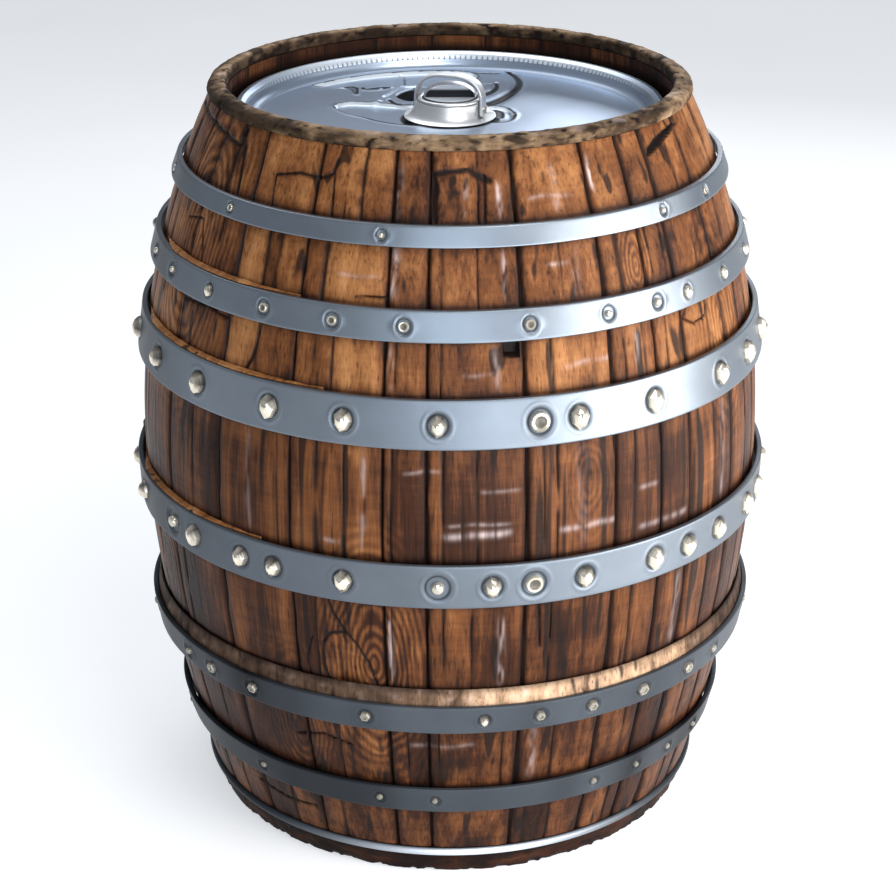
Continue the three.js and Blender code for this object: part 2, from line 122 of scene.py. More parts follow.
def nearest_on_path(u, v, path):
    """Distance from each point to an open path of [u, v] corners, and the share of the path
    before its nearest place."""
    nearest = np.full(np.shape(u), 1e9)
    share = np.zeros(np.shape(u))
    for number, ((u0, v0), (u1, v1)) in enumerate(zip(path[:-1], path[1:])):
        du, dv = u1 - u0, v1 - v0
        along = np.clip(((u - u0) * du + (v - v0) * dv) / (du * du + dv * dv), 0, 1)
        away = np.hypot(u - u0 - along * du, v - v0 - along * dv)
        share = np.where(away < nearest, (number + along) / (len(path) - 1), share)
        nearest = np.minimum(nearest, away)
    return nearest, share


def inside_path(u, v, path):
    """Whether each point is inside a closed path of [u, v] corners."""
    inside = np.zeros(np.shape(u), bool)
    for (u0, v0), (u1, v1) in zip(path, path[1:] + path[:1]):
        if v0 != v1:
            crosses = (v0 > v) != (v1 > v)
            inside ^= crosses & (u < u0 + (v - v0) * (u1 - u0) / (v1 - v0))
    return inside


def edge_and_inside(u, v, path):
    """Distance from each point to a closed path's edge, and whether the point is inside."""
    return nearest_on_path(u, v, path + path[:1])[0], inside_path(u, v, path)


def curve_through(points, steps, closed):
    """A smooth Catmull-Rom line through the points."""
    knots = np.array(points, float)
    if closed:
        padded = np.vstack([knots[-1:], knots, knots[:2]])
    else:
        padded = np.vstack([2 * knots[:1] - knots[1:2], knots, 2 * knots[-1:] - knots[-2:-1]])
    line = []
    for i in range(1, len(padded) - 2):
        a, b, c, d = padded[i - 1 : i + 3]
        square, cube = 2 * a - 5 * b + 4 * c - d, 3 * b - a - 3 * c + d
        for t in np.arange(steps) / steps:
            line.append(0.5 * (2 * b + (c - a) * t + square * t**2 + cube * t**3))
    if not closed:
        line.append(padded[-2])
    return np.array(line)


def rounded(outline, radius, steps):
    """A closed outline with each corner rounded."""
    corners = np.array(outline, float)
    line = []
    for before, here, after in zip(np.roll(corners, 1, 0), corners, np.roll(corners, -1, 0)):
        back, ahead = np.linalg.norm(before - here), np.linalg.norm(after - here)
        reach = min(radius, 0.45 * back, 0.45 * ahead)
        start = here + (before - here) * reach / back
        end = here + (after - here) * reach / ahead
        for t in np.arange(steps + 1) / steps:
            line.append((1 - t) ** 2 * start + 2 * t * (1 - t) * here + t * t * end)
    return np.array(line)


def refined(outline, step):
    """A closed outline with points added so that none is further than step from the next."""
    filled = []
    for start, end in zip(outline, np.roll(outline, -1, 0)):
        count = max(1, math.ceil(np.linalg.norm(end - start) / step))
        filled += [start + (end - start) * i / count for i in range(count)]
    return np.array(filled)


# ---------------------------------------------------------------- meshes


def grid_faces(rows, columns, wrap_rows=False, wrap_columns=False):
    """Quads over a grid whose vertex number is row * columns + column."""
    row = np.arange(rows if wrap_rows else rows - 1)[:, None]
    column = np.arange(columns if wrap_columns else columns - 1)[None, :]
    next_row = (row + 1) % rows
    next_column = (column + 1) % columns
    corners = [
        row * columns + column,
        row * columns + next_column,
        next_row * columns + next_column,
        next_row * columns + column,
    ]
    return np.stack(np.broadcast_arrays(*corners), axis=-1).reshape(-1, 4)


def swept(outline, angles):
    """A closed outline of [radius, height], a row for each of its points, taken through the
    angles, a column for each: the grids of radius, angle and height."""
    outline = np.array(outline, float)
    radius = np.repeat(outline[:, :1], len(angles), 1)
    return radius, np.broadcast_to(angles, radius.shape), np.repeat(outline[:, 1:], len(angles), 1)


def ring_mesh(radius, angle, height):
    """The ring that such grids describe, as (points, faces)."""
    points = around(radius, angle, height).reshape(-1, 3)
    return points, [grid_faces(*radius.shape, wrap_rows=True, wrap_columns=True)]


def bar_faces(rows, columns):
    """Faces over a grid whose rows close on themselves, and a cap over each end column."""
    side = np.arange(rows) * columns
    ends = [side[None, :], (side + columns - 1)[None, ::-1]]
    return [grid_faces(rows, columns, wrap_rows=True), *ends]


def facing_out(points, faces):
    """The face groups of a closed mesh, turned so that they face outwards."""
    volume = 0
    for group in faces:
        first = points[group[:, 0]]
        for k in range(1, group.shape[1] - 1):
            crossed = np.cross(points[group[:, k]], points[group[:, k + 1]])
            volume += (first * crossed).sum()
    return faces if volume > 0 else [group[:, ::-1] for group in faces]


def joined(parts):
    """Several (points, faces) as one."""
    points, faces, count = [], [], 0
    for part_points, part_faces in parts:
        points.append(part_points)
        faces += [group + count for group in facing_out(part_points, part_faces)]
        count += len(part_points)
    return np.concatenate(points), faces


def capped(points, count):
    """Rings of count points each, closed by two poles that are the last two points, as
    (points, faces)."""
    rings = (len(points) - 2) // count
    near = np.arange(count)
    far = (near + 1) % count
    first_pole = np.full(count, rings * count)
    last = (rings - 1) * count
    return points, [
        grid_faces(rings, count, wrap_columns=True),
        np.stack([first_pole, far, near], axis=-1),
        np.stack([first_pole + 1, last + near, last + far], axis=-1),
    ]


def piece(name, solid, material, replaced, attributes=None, sharp=40, body="keg"):
    """A named Blender mesh made from (points, faces), riding on a CAD body."""
    points, faces = solid
    faces = facing_out(points, faces)
    loops = np.concatenate([group.ravel() for group in faces])
    sizes = np.concatenate([np.full(len(group), group.shape[1]) for group in faces])
    mesh = bpy.data.meshes.new(name)
    mesh.vertices.add(len(points))
    mesh.vertices.foreach_set("co", (points * MM).astype(np.float32).ravel())
    mesh.loops.add(len(loops))
    mesh.loops.foreach_set("vertex_index", loops.astype(np.int32))
    mesh.polygons.add(len(sizes))
    mesh.polygons.foreach_set("loop_start", (np.cumsum(sizes) - sizes).astype(np.int32))
    mesh.update(calc_edges=True)
    mesh.validate()
    mesh.shade_smooth()
    mesh.set_sharp_from_angle(angle=math.radians(sharp))
    for key, values in (attributes or {}).items():
        layer = mesh.attributes.new(key, "FLOAT", "POINT")
        layer.data.foreach_set("value", np.asarray(values, np.float32).ravel())
    mesh.materials.append(material)
    made = bpy.data.objects.new(name, mesh)
    bpy.context.scene.collection.objects.link(made)
    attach(made, body)
    if replaced:
        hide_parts(*replaced)


def all_round(columns):
    """So many angles, evenly spaced."""
    return np.arange(columns) * 360 / columns


def lathe(outline, columns):
    """A closed outline of [radius, height] turned round the axis, as (points, faces).
    An outline that starts and ends on the axis gets a pole at each end."""
    if outline[0][0] > 0:
        return ring_mesh(*swept(outline, all_round(columns)))
    radius, angle, height = swept(outline[1:-1], all_round(columns))
    points = around(radius, angle, height).reshape(-1, 3)
    poles = [[0, 0, outline[0][1]], [0, 0, outline[-1][1]]]
    return capped(np.vstack([points, poles]), columns)


# ---------------------------------------------------------------- shader nodes


class Paint:
    """A node material under construction. Values are node sockets or plain numbers."""

    def __init__(self, name, roughness, specular):
        self.material = bpy.data.materials.new(name)
        self.material.use_nodes = True
        self.tree = self.material.node_tree
        self.shader = self.tree.nodes["Principled BSDF"]
        self.put(self.shader.inputs["Roughness"], roughness)
        self.put(self.shader.inputs["Specular IOR Level"], specular)
        self.place = self.tree.nodes.new("ShaderNodeTexCoord").outputs["Object"]

    def put(self, socket, value):
        """Links or sets a socket. A colour may be given without its alpha."""
        if isinstance(value, bpy.types.NodeSocket):
            self.tree.links.new(value, socket)
        elif isinstance(value, tuple):
            socket.default_value = (*value, 1.0)[: len(socket.default_value)]
        else:
            socket.default_value = value

    def node(self, kind, inputs, **settings):
        """A new node, with its settings made and its inputs put in."""
        node = self.tree.nodes.new("ShaderNode" + kind)
        for key, value in settings.items():
            setattr(node, key, value)
        for key, value in inputs.items():
            self.put(node.inputs[key], value)
        return node

    def attribute(self, name):
        """A number held by each of the mesh's points."""
        return self.node("Attribute", {}, attribute_name=name).outputs["Fac"]

    def grain(self, scale, detail=3.0, roughness=0.55, offset=0.0, distortion=0.0):
        """Noise from 0 to 1, with so many features a metre along x, y and z."""
        moved = {"Vector": self.place, "Scale": scale, "Location": (offset, offset, offset)}
        return self.node("TexNoise", {
            "Vector": self.node("Mapping", moved).outputs["Vector"],
            "Scale": 1.0,
            "Detail": detail,
            "Roughness": roughness,
            "Distortion": distortion,
        }).outputs["Fac"]

    def math(self, operation, a, b=0.0, clamp=False):
        return self.node("Math", {0: a, 1: b}, operation=operation, use_clamp=clamp).outputs[0]

    def between(self, value, low, high, to_low=0.0, to_high=1.0):
        """to_low where the value is low or less, to_high where it is high or more."""
        limits = {"From Min": low, "From Max": high, "To Min": to_low, "To Max": to_high}
        return self.node("MapRange", {"Value": value, **limits}).outputs["Result"]

    def sum(self, *terms):
        """Adds (value, weight) terms."""
        total = None
        for value, weight in terms:
            term = self.math("MULTIPLY", value, weight)
            total = term if total is None else self.math("ADD", total, term)
        return total

    def ramp(self, value, stops):
        """The value as a colour, from stops of (value, colour)."""
        node = self.node("ValToRGB", {"Fac": value})
        elements = node.color_ramp.elements
        while len(elements) < len(stops):
            elements.new(0.5)
        for element, (position, colour) in zip(elements, stops):
            element.position = position
            element.color = (*colour, 1.0)
        return node.outputs["Color"]

    def mix(self, a, b, factor):
        return self.node("Mix", {"Factor": factor, 6: a, 7: b}, data_type="RGBA").outputs[2]

    def bump(self, height, distance, strength):
        inputs = {"Height": height, "Distance": distance, "Strength": strength}
        return self.node("Bump", inputs).outputs["Normal"]

    def finish(self, colour, normal=None):
        self.put(self.shader.inputs["Base Color"], colour)
        if normal is not None:
            self.put(self.shader.inputs["Normal"], normal)
        return self.material


# ---------------------------------------------------------------- materials

BLACK_WOOD = (0.010, 0.006, 0.005)
SHEEN_AND_WORN_WOOD = (0.56, 0.45, 0.43)
SHADE_AND_GRIME_COLOUR = (0.005, 0.006, 0.008)
PALE_STEEL = (0.80, 0.86, 0.93)


def oak_paint(name, stops, roughness, run=(1.0, 1.0, 0.045)):
    """Oiled oak. tone lightens or darkens it, dark fills cracks and paints shade, and wear paints worn,
    bleached wood and satin highlights on it. run is how quickly the grain changes along x, y and z:
    it's small in the direction of the fibres."""
    paint = Paint(name, roughness, specular=0.09)
    half_run = tuple(v**0.5 for v in run)
    long_run = tuple(0.3 * v if v < 0.1 else v for v in run)
    cross_run = tuple(1.15 - v for v in run)

    def stretched(size, run):
        return tuple(size * v for v in run)

    fibre = paint.grain(stretched(420.0, run), detail=4.0, roughness=0.65)
    streak = paint.grain(stretched(95.0, run), detail=3.0, offset=3.1, distortion=0.6)
    broad = paint.grain(stretched(26.0, half_run), detail=2.0, offset=7.7)
    fleck = paint.grain(stretched(60.0, cross_run), detail=3.0, offset=1.3)
    cross = paint.grain(stretched(230.0, cross_run), detail=2.0, offset=4.4)
    value = paint.sum(
        (paint.attribute("tone"), 0.22), (fibre, 0.30), (streak, 0.46), (broad, 0.46),
        (fleck, 0.20), (cross, 0.10),
    )
    colour = paint.ramp(paint.math("ADD", value, -0.27), stops)
    pores = paint.between(fibre, 0.30, 0.42, 0.65, 0.0)
    colour = paint.mix(colour, BLACK_WOOD, pores)
    stain = paint.between(paint.sum((streak, 0.6), (broad, 0.4)), 0.33, 0.43, 0.60, 0.0)
    colour = paint.mix(colour, BLACK_WOOD, stain)
    vein = paint.grain(stretched(75.0, long_run), detail=1.0, offset=9.2)
    colour = paint.mix(colour, BLACK_WOOD, paint.between(vein, 0.30, 0.36, 0.85, 0.0))
    # Pale marks: worn, bleached wood and painted satin highlights.
    worn_and_sheen = paint.math("MULTIPLY", paint.attribute("wear"), paint.between(streak, 0.32, 0.62))
    colour = paint.mix(colour, SHEEN_AND_WORN_WOOD, worn_and_sheen)
    colour = paint.mix(colour, BLACK_WOOD, paint.attribute("dark"))
    relief = paint.sum((fibre, 0.5), (streak, 0.7), (cross, 0.35))
    return paint.finish(colour, paint.bump(relief, 0.0012, 0.75))


OAK_STOPS = [
    (0.00, (0.008, 0.003, 0.002)),
    (0.26, (0.042, 0.014, 0.006)),
    (0.48, (0.150, 0.054, 0.018)),
    (0.70, (0.330, 0.142, 0.050)),
    (1.00, (0.560, 0.320, 0.155)),
]
RIM_STOPS = [
    (0.00, (0.010, 0.006, 0.003)),
    (0.34, (0.050, 0.030, 0.017)),
    (0.58, (0.190, 0.122, 0.070)),
    (1.00, (0.500, 0.360, 0.235)),
]
RAW_STOPS = [
    (0.00, (0.022, 0.012, 0.008)),
    (0.35, (0.130, 0.075, 0.046)),
    (0.62, (0.500, 0.320, 0.195)),
    (1.00, (0.800, 0.640, 0.470)),
]
stave_oak = oak_paint("stave_oak", OAK_STOPS, 0.40)
foot_oak = oak_paint("foot_oak", OAK_STOPS, 0.55, (0.25, 0.25, 1.0))
head_oak = oak_paint("head_oak", OAK_STOPS, 0.60, (1.0, 0.05, 1.0))
rim_oak = oak_paint("rim_oak", RIM_STOPS, 0.75, (0.35, 0.35, 0.8))
raw_oak = oak_paint("raw_oak", RAW_STOPS, 0.60, (1.0, 1.0, 0.3))


def steel_paint(name, colour, roughness, mottle=0.12, relief=0.0006):
    """Worn steel: a mottled tint and fine specks, a flat dark coat of dirt and painted shade where dark
    is set, and a pale finish of brushing and painted highlights where wear is set."""
    paint = Paint(name, roughness, specular=0.10)
    grime_and_shade = paint.attribute("dark")
    brushed_and_highlight = paint.attribute("wear")
    cloud = paint.grain((14.0, 14.0, 30.0), detail=4.0)
    rubbed = paint.grain((60.0, 60.0, 60.0), detail=3.0, offset=2.0)
    speck = paint.grain((900.0, 900.0, 900.0), detail=2.0, offset=5.0)
    low = tuple(v * (1 - mottle) for v in colour)
    high = tuple(min(1.0, v * (1 + mottle)) for v in colour)
    shade = paint.ramp(paint.sum((cloud, 0.7), (rubbed, 0.3)), [(0.30, low), (0.70, high)])
    shade = paint.mix(shade, PALE_STEEL, brushed_and_highlight)
    shade = paint.mix(shade, SHADE_AND_GRIME_COLOUR, grime_and_shade)
    dulled = paint.sum((grime_and_shade, -1.0), (brushed_and_highlight, -0.55))
    paint.put(paint.shader.inputs["Metallic"], paint.math("ADD", dulled, 1.0, clamp=True))
    bumps = paint.sum((rubbed, 0.7), (speck, 0.3))
    return paint.finish(shade, paint.bump(bumps, relief, 0.30))


hoop_steel = steel_paint("hoop_steel", (0.230, 0.265, 0.305), 0.40, 0.08, 0.0003)
lid_steel = steel_paint("lid_steel", (0.41, 0.49, 0.61), 0.31, 0.05, 0.0002)
neck_steel = steel_paint("neck_steel", (0.78, 0.79, 0.80), 0.38, 0.04, 0.0001)
vessel_steel = steel_paint("vessel_steel", (0.55, 0.57, 0.60), 0.40)
bright_steel = steel_paint("bright_steel", (0.95, 0.96, 0.98), 0.42, 0.03, 0.0001)
stud_steel = steel_paint("stud_steel", (0.88, 0.80, 0.66), 0.08, 0.08, 0.0001)
dome_chrome = steel_paint("dome_chrome", (0.80, 0.82, 0.86), 0.32, 0.04, 0.0001)
spring_steel = steel_paint("spring_steel", (0.45, 0.46, 0.50), 0.28)


def rubber_paint(name):
    paint = Paint(name, 0.80, specular=0.03)
    dust = paint.grain((260.0, 260.0, 260.0), detail=4.0)
    shade = paint.ramp(dust, [(0.35, (0.003, 0.003, 0.004)), (0.75, (0.014, 0.014, 0.016))])
    return paint.finish(shade, paint.bump(dust, 0.0004, 0.5))


black_rubber = rubber_paint("black_rubber")


# ---------------------------------------------------------------- the barrel's own shape


def cad_points(name):
    """The corners of a CAD node, in mm."""
    mesh = nodes[name].data
    flat = np.zeros(len(mesh.vertices) * 3)
    mesh.vertices.foreach_get("co", flat)
    return flat.reshape(-1, 3) / MM


STAVE_NAMES = sorted(name for name in nodes if name.startswith("stave_"))
STAVE_FOOT, STAVE_TOP = (v.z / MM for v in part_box(STAVE_NAMES[0]))
STAVE_THICKNESS = 25.5
REBATE_TOP = 30.0  # below this the staves step in behind the base wire
REBATE_RADIUS = 242.2
SEAT_FOOT, SEAT_RADIUS, SEAT_TAPER = 686.0, 210.2, 0.065  # the cone inside the staves round the lid
PROFILE_LEVELS = (40, 110, 196, 290, 380, 470, 570, 643, 708)  # of the CAD staves' outer corners


def barrel_profile():
    """The cubic that gives the staves' outside radius at a height, from the CAD's own corners."""
    corners = cad_points(STAVE_NAMES[0])
    radii = np.hypot(corners[:, 0], corners[:, 1])
    heights = np.round(corners[:, 2], 1)
    levels = [h for h in np.unique(heights) if round(h) in PROFILE_LEVELS]
    return np.polyfit(levels, [radii[heights == h].max() for h in levels], 3)


PROFILE = barrel_profile()


def barrel_radius(height):
    """The staves' outside radius."""
    return np.polyval(PROFILE, height)


def barrel_lean(height):
    """How fast the radius grows with height."""
    return np.polyval(np.polyder(PROFILE), height)


def stave_span(name):
    """The angles of a stave's two sides."""
    corners = cad_points(name)
    middle = corners.mean(axis=0)
    centre = math.degrees(math.atan2(middle[0], -middle[1]))
    angles = turn(np.degrees(np.arctan2(corners[:, 0], -corners[:, 1])) - centre)
    return centre + angles.min(), centre + angles.max()


# ---------------------------------------------------------------- worn marks, painted shade and painted highlights of the barrel, by place

# Bands of bare wood between the hoops: low, high, and splits inside the staves as
# (angle, width in mm). Each split also divides the wood into planks of slightly different tone.
BARE_BANDS = [
    (640, 712, [(-79, 2), (-68, 1.5), (-53, 2.2), (-21.5, 0.8), (-18, 1.8), (5.5, 0.9), (55, 1.2),
                (69, 1.6)]),
    (570, 646, [(-72, 1.6), (-51, 1.4), (-37.3, 1.8), (-34.3, 1.4), (-24, 2.2), (-1.6, 1.4), (5, 0.7),
                (21, 0.6), (33.6, 1.8), (41.2, 0.9), (45.2, 0.9), (55, 1.5), (68, 1.4)]),
    (495, 570, [(-70, 1.5), (-59, 1.2), (-36.7, 1.6), (-21, 1.4), (-9.6, 1), (-1.6, 1.6), (18, 1.2),
                (32.4, 1.2), (42.4, 0.9), (55, 1.2), (68, 1.2)]),
    (340, 480, [(-74, 1.4), (-52, 1.2), (-31, 0.8), (-23.3, 2.4), (-18.3, 1.1), (-9.9, 1.1),
                (-1.2, 1.3), (4.5, 1), (16, 1.2), (18.4, 1), (33.4, 1.1), (54, 1.4), (68, 1.2)]),
    (200, 335, [(-70, 1.4), (-57, 1.3), (-24, 0.9), (-10, 0.8), (-1.1, 1.2), (3.7, 1), (17.6, 0.8),
                (33.5, 1.2), (54, 1.4), (68, 1.2)]),
    (96, 200, [(-68, 1.4), (-52, 1.2), (-21.6, 1), (-8, 0.9), (-2, 0.8), (10, 0.9), (20, 0.8),
               (36, 1.1), (54, 1.3), (68, 1.2)]),
    (0, 96, [(-66, 1.4), (-52, 1.4), (-36, 1), (-23.2, 1.2), (15.6, 1), (21.2, 1), (36, 1), (55, 1.4)]),
]

# Heights beside a hoop or the packing ring where the wood is painted darker, as shade.
HOOP_EDGES = [652, 634, 584, 557, 509, 465, 357, 315, 226, 184, 110, 82]

# Splits that lean or bend: width in mm, then a path of (angle, height).
CRACKS = [
    (1.6, [(-38.6, 651), (-39.3, 676), (-33, 681.5), (-28, 680), (-25.4, 684), (-24.6, 696)]),
    (1.3, [(-24.9, 686), (-24.1, 650)]),
    (2.6, [(-3.0, 652), (-3.3, 690), (-1.5, 691.5), (3.9, 693), (5.4, 688.5), (8.1, 684.5)]),
    (1.2, [(7.1, 688), (6.9, 652)]),
    (2.4, [(-84, 699), (-66, 696), (-53, 689)]),
    (2.2, [(-50.8, 690), (-49.1, 652)]),
    (1.0, [(-64.4, 616), (-58.4, 621), (-56, 596), (-55.4, 584)]),
    (1.2, [(-17.5, 589.5), (-14, 590.5), (-11.8, 590)]),
    (1.2, [(-58.8, 549), (-50.4, 553), (-45, 549)]),
    (1.6, [(-36, 556), (-36.6, 540), (-37.4, 522), (-38.5, 512)]),
    (1.3, [(49, 556), (47.6, 545), (50.5, 537), (54.1, 539), (55, 548)]),
    (1.6, [(-21.6, 312), (-20.6, 296), (-18.6, 280), (-16.4, 266), (-14.2, 246), (-13.2, 226)]),
    (1.8, [(-18.9, 278.5), (-21.4, 275), (-22.9, 264), (-23.2, 240), (-22.2, 222), (-20.4, 208)]),
    (0.9, [(-24.9, 268), (-26.4, 243), (-26.0, 224)]),
    (1.0, [(15.4, 312), (15.8, 266)]),
    (1.0, [(-31, 150), (-25, 158), (-19, 151)]),
    (1.2, [(-46, 64), (-38, 58), (-30, 60)]),
]

# Sunk patches, painted black inside and dark along their edges as shade: depth in mm, then a closed
# path of (angle, height).
HOLLOWS = [
    (7.0, [(9.3, 542), (12.2, 541.5), (12.3, 554), (9.2, 554.5)]),
    (4.5, [(47.7, 685), (51, 688.5), (56, 694), (62.5, 700), (61, 702), (56, 700), (51, 696),
           (48.2, 691)]),
    (6.0, [(-53.4, 690), (-51.9, 689), (-51.6, 704), (-53.2, 705)]),
]
# A shallower one with sloping sides and clean wood in it.
GOUGE = (3.6, [(-19.0, 279), (-21.4, 275), (-22.9, 262), (-23.2, 240), (-22.0, 222), (-20.0, 206),
               (-17.0, 214), (-14.3, 232), (-15.2, 252), (-16.6, 268)])

# Pale streaks that run up the wood, partly bleached and partly painted satin highlights: angle, low,
# high, width in mm, strength.
STREAKS = [
    (-10.5, 584, 634, 6.5, 0.95), (-10.4, 652, 704, 4.5, 0.5), (9.9, 652, 690, 3.5, 0.9),
    (30.6, 664, 700, 3.0, 0.9), (10.2, 584, 632, 4.0, 0.8), (-10.4, 509, 556, 5.0, 0.5),
    (-10.3, 226, 305, 4.0, 0.8), (8.9, 226, 308, 4.5, 0.75), (-14.5, 357, 465, 5.0, 0.35),
    (23.0, 357, 465, 7.0, 0.3),
    (-37.0, 357, 462, 4.0, 0.3), (35.0, 509, 556, 4.0, 0.4), (24.0, 584, 632, 5.0, 0.35),
    (8.0, 509, 556, 5.0, 0.4),
    (16.0, 110, 182, 6.0, 0.3), (45.0, 226, 310, 6.0, 0.3), (57.0, 357, 462, 6.0, 0.3),
    (3.0, 652, 688, 4.0, 0.3), (22.0, 652, 700, 6.0, 0.25),
]

# Pale smears painted across the wood as highlights: height, from, to, thickness in mm, strength.
SMEARS = [
    (384, -1.5, 10.5, 5.5, 0.75), (383, 18.5, 29.5, 5.0, 0.55), (394, -1, 10.4, 3.0, 0.35),
    (614, 18, 23, 3.0, 0.5), (669, 15.6, 26, 3.0, 0.35), (372, -23, -18.5, 4.0, 0.35),
    (424, 5, 12, 3.0, 0.3), (441, -8, -1, 3.0, 0.3), (367, 34, 46, 5.0, 0.3),
    (405, 34, 38.5, 4.0, 0.3), (530, 20, 30, 4.0, 0.3), (527, 2, 8, 3.0, 0.3),
    (606, -22, -13, 3.0, 0.3), (160, -8, 5, 4.0, 0.25),
]

# Centres of curved grain: angle, height, reach in mm, wavelength in mm, strength.
SWIRLS = [
    (-13.5, 250, 75, 5.2, 0.55), (-60, 606, 90, 6.0, 0.5), (37.5, 603, 26, 4.0, 0.5),
    (-30, 160, 50, 5.0, 0.35), (24, 420, 34, 5.0, 0.25), (60, 520, 60, 6.0, 0.35),
    (-66, 270, 70, 6.0, 0.4),
]


class Wood:
    """Places on the barrel's side: how far each stands out in mm, and its dark, wear and tone, which
    hold painted shade and painted highlights besides cracks, worn marks and grain.
    """

    def __init__(self, angle, height):
        self.angle, self.height = angle, height
        radius = barrel_radius(height)
        self.at = spread(radius, angle, height)
        self.to_mm = np.radians(1) * radius
        self.rise, self.dark, self.wear, self.tone = (np.zeros_like(radius) for _ in range(4))
        self.wander = grown(self.at, 14, 26, 11) * 0.9
        self.swell = 1 + 0.55 * grown(self.at, 9, 19, 12)

    def arc(self, place):
        """Each place's distance round the barrel from an angle, in mm."""
        return turn(self.angle - place) * self.to_mm

    def darken(self, amount):
        self.dark = np.maximum(self.dark, amount)

    def add_wear_and_highlight(self, amount):
        self.wear = np.maximum(self.wear, amount)


def unrolled(path):
    """A path of (angle, height) as mm round the barrel from its first point, and height."""
    start = path[0][0]
    return [((a - start) * math.radians(1) * barrel_radius(h), h) for a, h in path]


def shade_by_height(wood):
    """Darker towards the foot, and painted shade beside each hoop."""
    wood.tone -= 0.60 * smooth(475, 430, wood.height)
    wood.tone -= 0.35 * smooth(400, 120, wood.height)
    for level in HOOP_EDGES:
        away = np.abs(wood.height - level)
        wood.tone -= 0.9 * np.exp(-away / 3.5)
        wood.darken(0.55 * np.exp(-away / 1.6))


def cut_joints(wood, joints):
    for number, joint in enumerate(joints):
        away = wood.arc(joint)
        near = np.abs(away) < 14
        if not near.any():
            continue
        width = (1.1 + 0.9 * lattice(number, 3, 1, 5)) * wood.swell
        groove = ridge(away + 0.35 * wood.wander, width)
        wood.rise -= np.where(near, 3.0 * groove + 0.9 * ridge(away, 5.5), 0)
        wood.darken(np.where(near, groove**0.7, 0))
        # Painted shade on the wood to each side of a joint.
        wood.tone -= np.where(near, 0.7 * ridge(away, 5.0), 0)


def cut_planks(wood, joints):
    """Tones each plank between joints and splits a little differently, and cuts the splits."""
    for band, (low, high, splits) in enumerate(BARE_BANDS):
        within = (wood.height >= low) & (wood.height < high)
        if not within.any():
            continue
        edges = np.array(sorted([turn(j) for j in joints] + [place for place, _ in splits]))
        plank = np.searchsorted(edges, turn(wood.angle) + 0.3 * wood.wander / wood.to_mm)
        shade = 2 * lattice(plank, band, 7, 21) - 1
        wood.tone = np.where(within, wood.tone + shade * 0.50, wood.tone)
        for number, (place, width) in enumerate(splits):
            away = wood.arc(place) + wood.wander
            fade = smooth(-0.75, 0.1, noise(number * 7.3, band * 3.1, wood.height / 24, 31))
            groove = ridge(away, width * wood.swell) * fade
            wood.rise -= np.where(within, 1.5 * groove, 0)
            wood.darken(np.where(within, 0.95 * groove**0.7, 0))
            wood.tone -= np.where(within, 0.3 * fade * ridge(away, 3.0), 0)


def cut_cracks(wood):
    for width, path in CRACKS:
        across, up = wood.arc(path[0][0]) + 0.5 * wood.wander, wood.height + 0.4 * wood.wander
        away, _ = nearest_on_path(across, up, unrolled(path))
        groove = smooth(width * wood.swell + 0.5, width * wood.swell * 0.4, away)
        wood.rise -= 1.8 * groove
        wood.darken(groove)
        wood.tone -= 0.3 * ridge(away, 3.0)


def cut_hollows(wood):
    for depth, path in [*HOLLOWS, GOUGE]:
        across = wood.arc(path[0][0])
        near = np.abs(across) < 60
        edge, sunk = edge_and_inside(across, wood.height, unrolled(path))
        sunk &= near
        if path is GOUGE[1]:
            wood.rise -= np.where(sunk, depth * smooth(0, 9, edge), 0)
            # Clean wood in the gouge, painted darker near its edge as shade.
            wood.tone = np.where(sunk, 0.15 - 0.5 * smooth(6, 0, edge), wood.tone)
        else:
            wood.rise -= np.where(sunk, depth * smooth(0, 1.5, edge), 0)
            # Painted shade: black in the hollow and dark along its edge.
            wood.darken(np.where(sunk, 1.0, ridge(edge, 1.0) * near))


def paint_wear_and_highlights(wood):
    # Pale streaks and smears: bleached wood and painted satin highlights.
    for place, low, high, width, strength in STREAKS:
        reach = smooth(low - 2, low + 14, wood.height) * smooth(high + 2, high - 14, wood.height)
        ragged = smooth(-0.5, 0.4, grown(wood.at, 3, 17, 41))
        streak = ridge(wood.arc(place) + 0.7 * wood.wander, width * 0.6)
        wood.add_wear_and_highlight(strength * reach * ragged * streak)
    for level, start, end, thick, strength in SMEARS:
        half = (end - start) / 2 * wood.to_mm
        reach = smooth(half + 2, half - 6, np.abs(wood.arc((start + end) / 2)))
        drift = 2.2 * noise(wood.at[0] / 20, wood.at[1] / 20, level, 42)
        wood.add_wear_and_highlight(strength * reach * ridge(wood.height - level + drift, thick * 0.55))


def curl_grain(wood):
    for place, level, reach, wave, strength in SWIRLS:
        away = np.hypot(wood.arc(place), (wood.height - level) * 0.42)
        bend = away + 2.5 * grown(wood.at, 16, 22, 51)
        rings = np.sin(bend * 2 * np.pi / wave) * smooth(reach, reach * 0.35, away)
        wood.tone += strength * rings
        wood.rise -= 0.35 * smooth(0.3, 1, -rings)


def wood_at(angle, height, joints):
    """The barrel's wood at these places, with all of its marks."""
    wood = Wood(angle, height)
    shade_by_height(wood)
    cut_joints(wood, joints)
    cut_planks(wood, joints)
    cut_cracks(wood)
    cut_hollows(wood)
    paint_wear_and_highlights(wood)
    curl_grain(wood)
    wood.wear = np.clip(wood.wear, 0, 1) * (1 - wood.dark)
    lump = grown(wood.at, 22, 46, 62)
    wood.rise += 0.22 * grown(wood.at, 2.6, 34, 61, 2)
    wood.rise += 0.30 * lump
    wood.tone += 0.35 * lump
    wood.rise = np.minimum(wood.rise, 0.5)
    return wood


# ---------------------------------------------------------------- staves


BELLY_RADIUS, INSIDE_RADIUS = 285.0, 203.0  # about, to turn angles into mm
INNER_LEVELS = [STAVE_TOP, 705, 702, 699, 696, 693, 686, 610, 480, 360, 240, 120, 58, STAVE_FOOT]


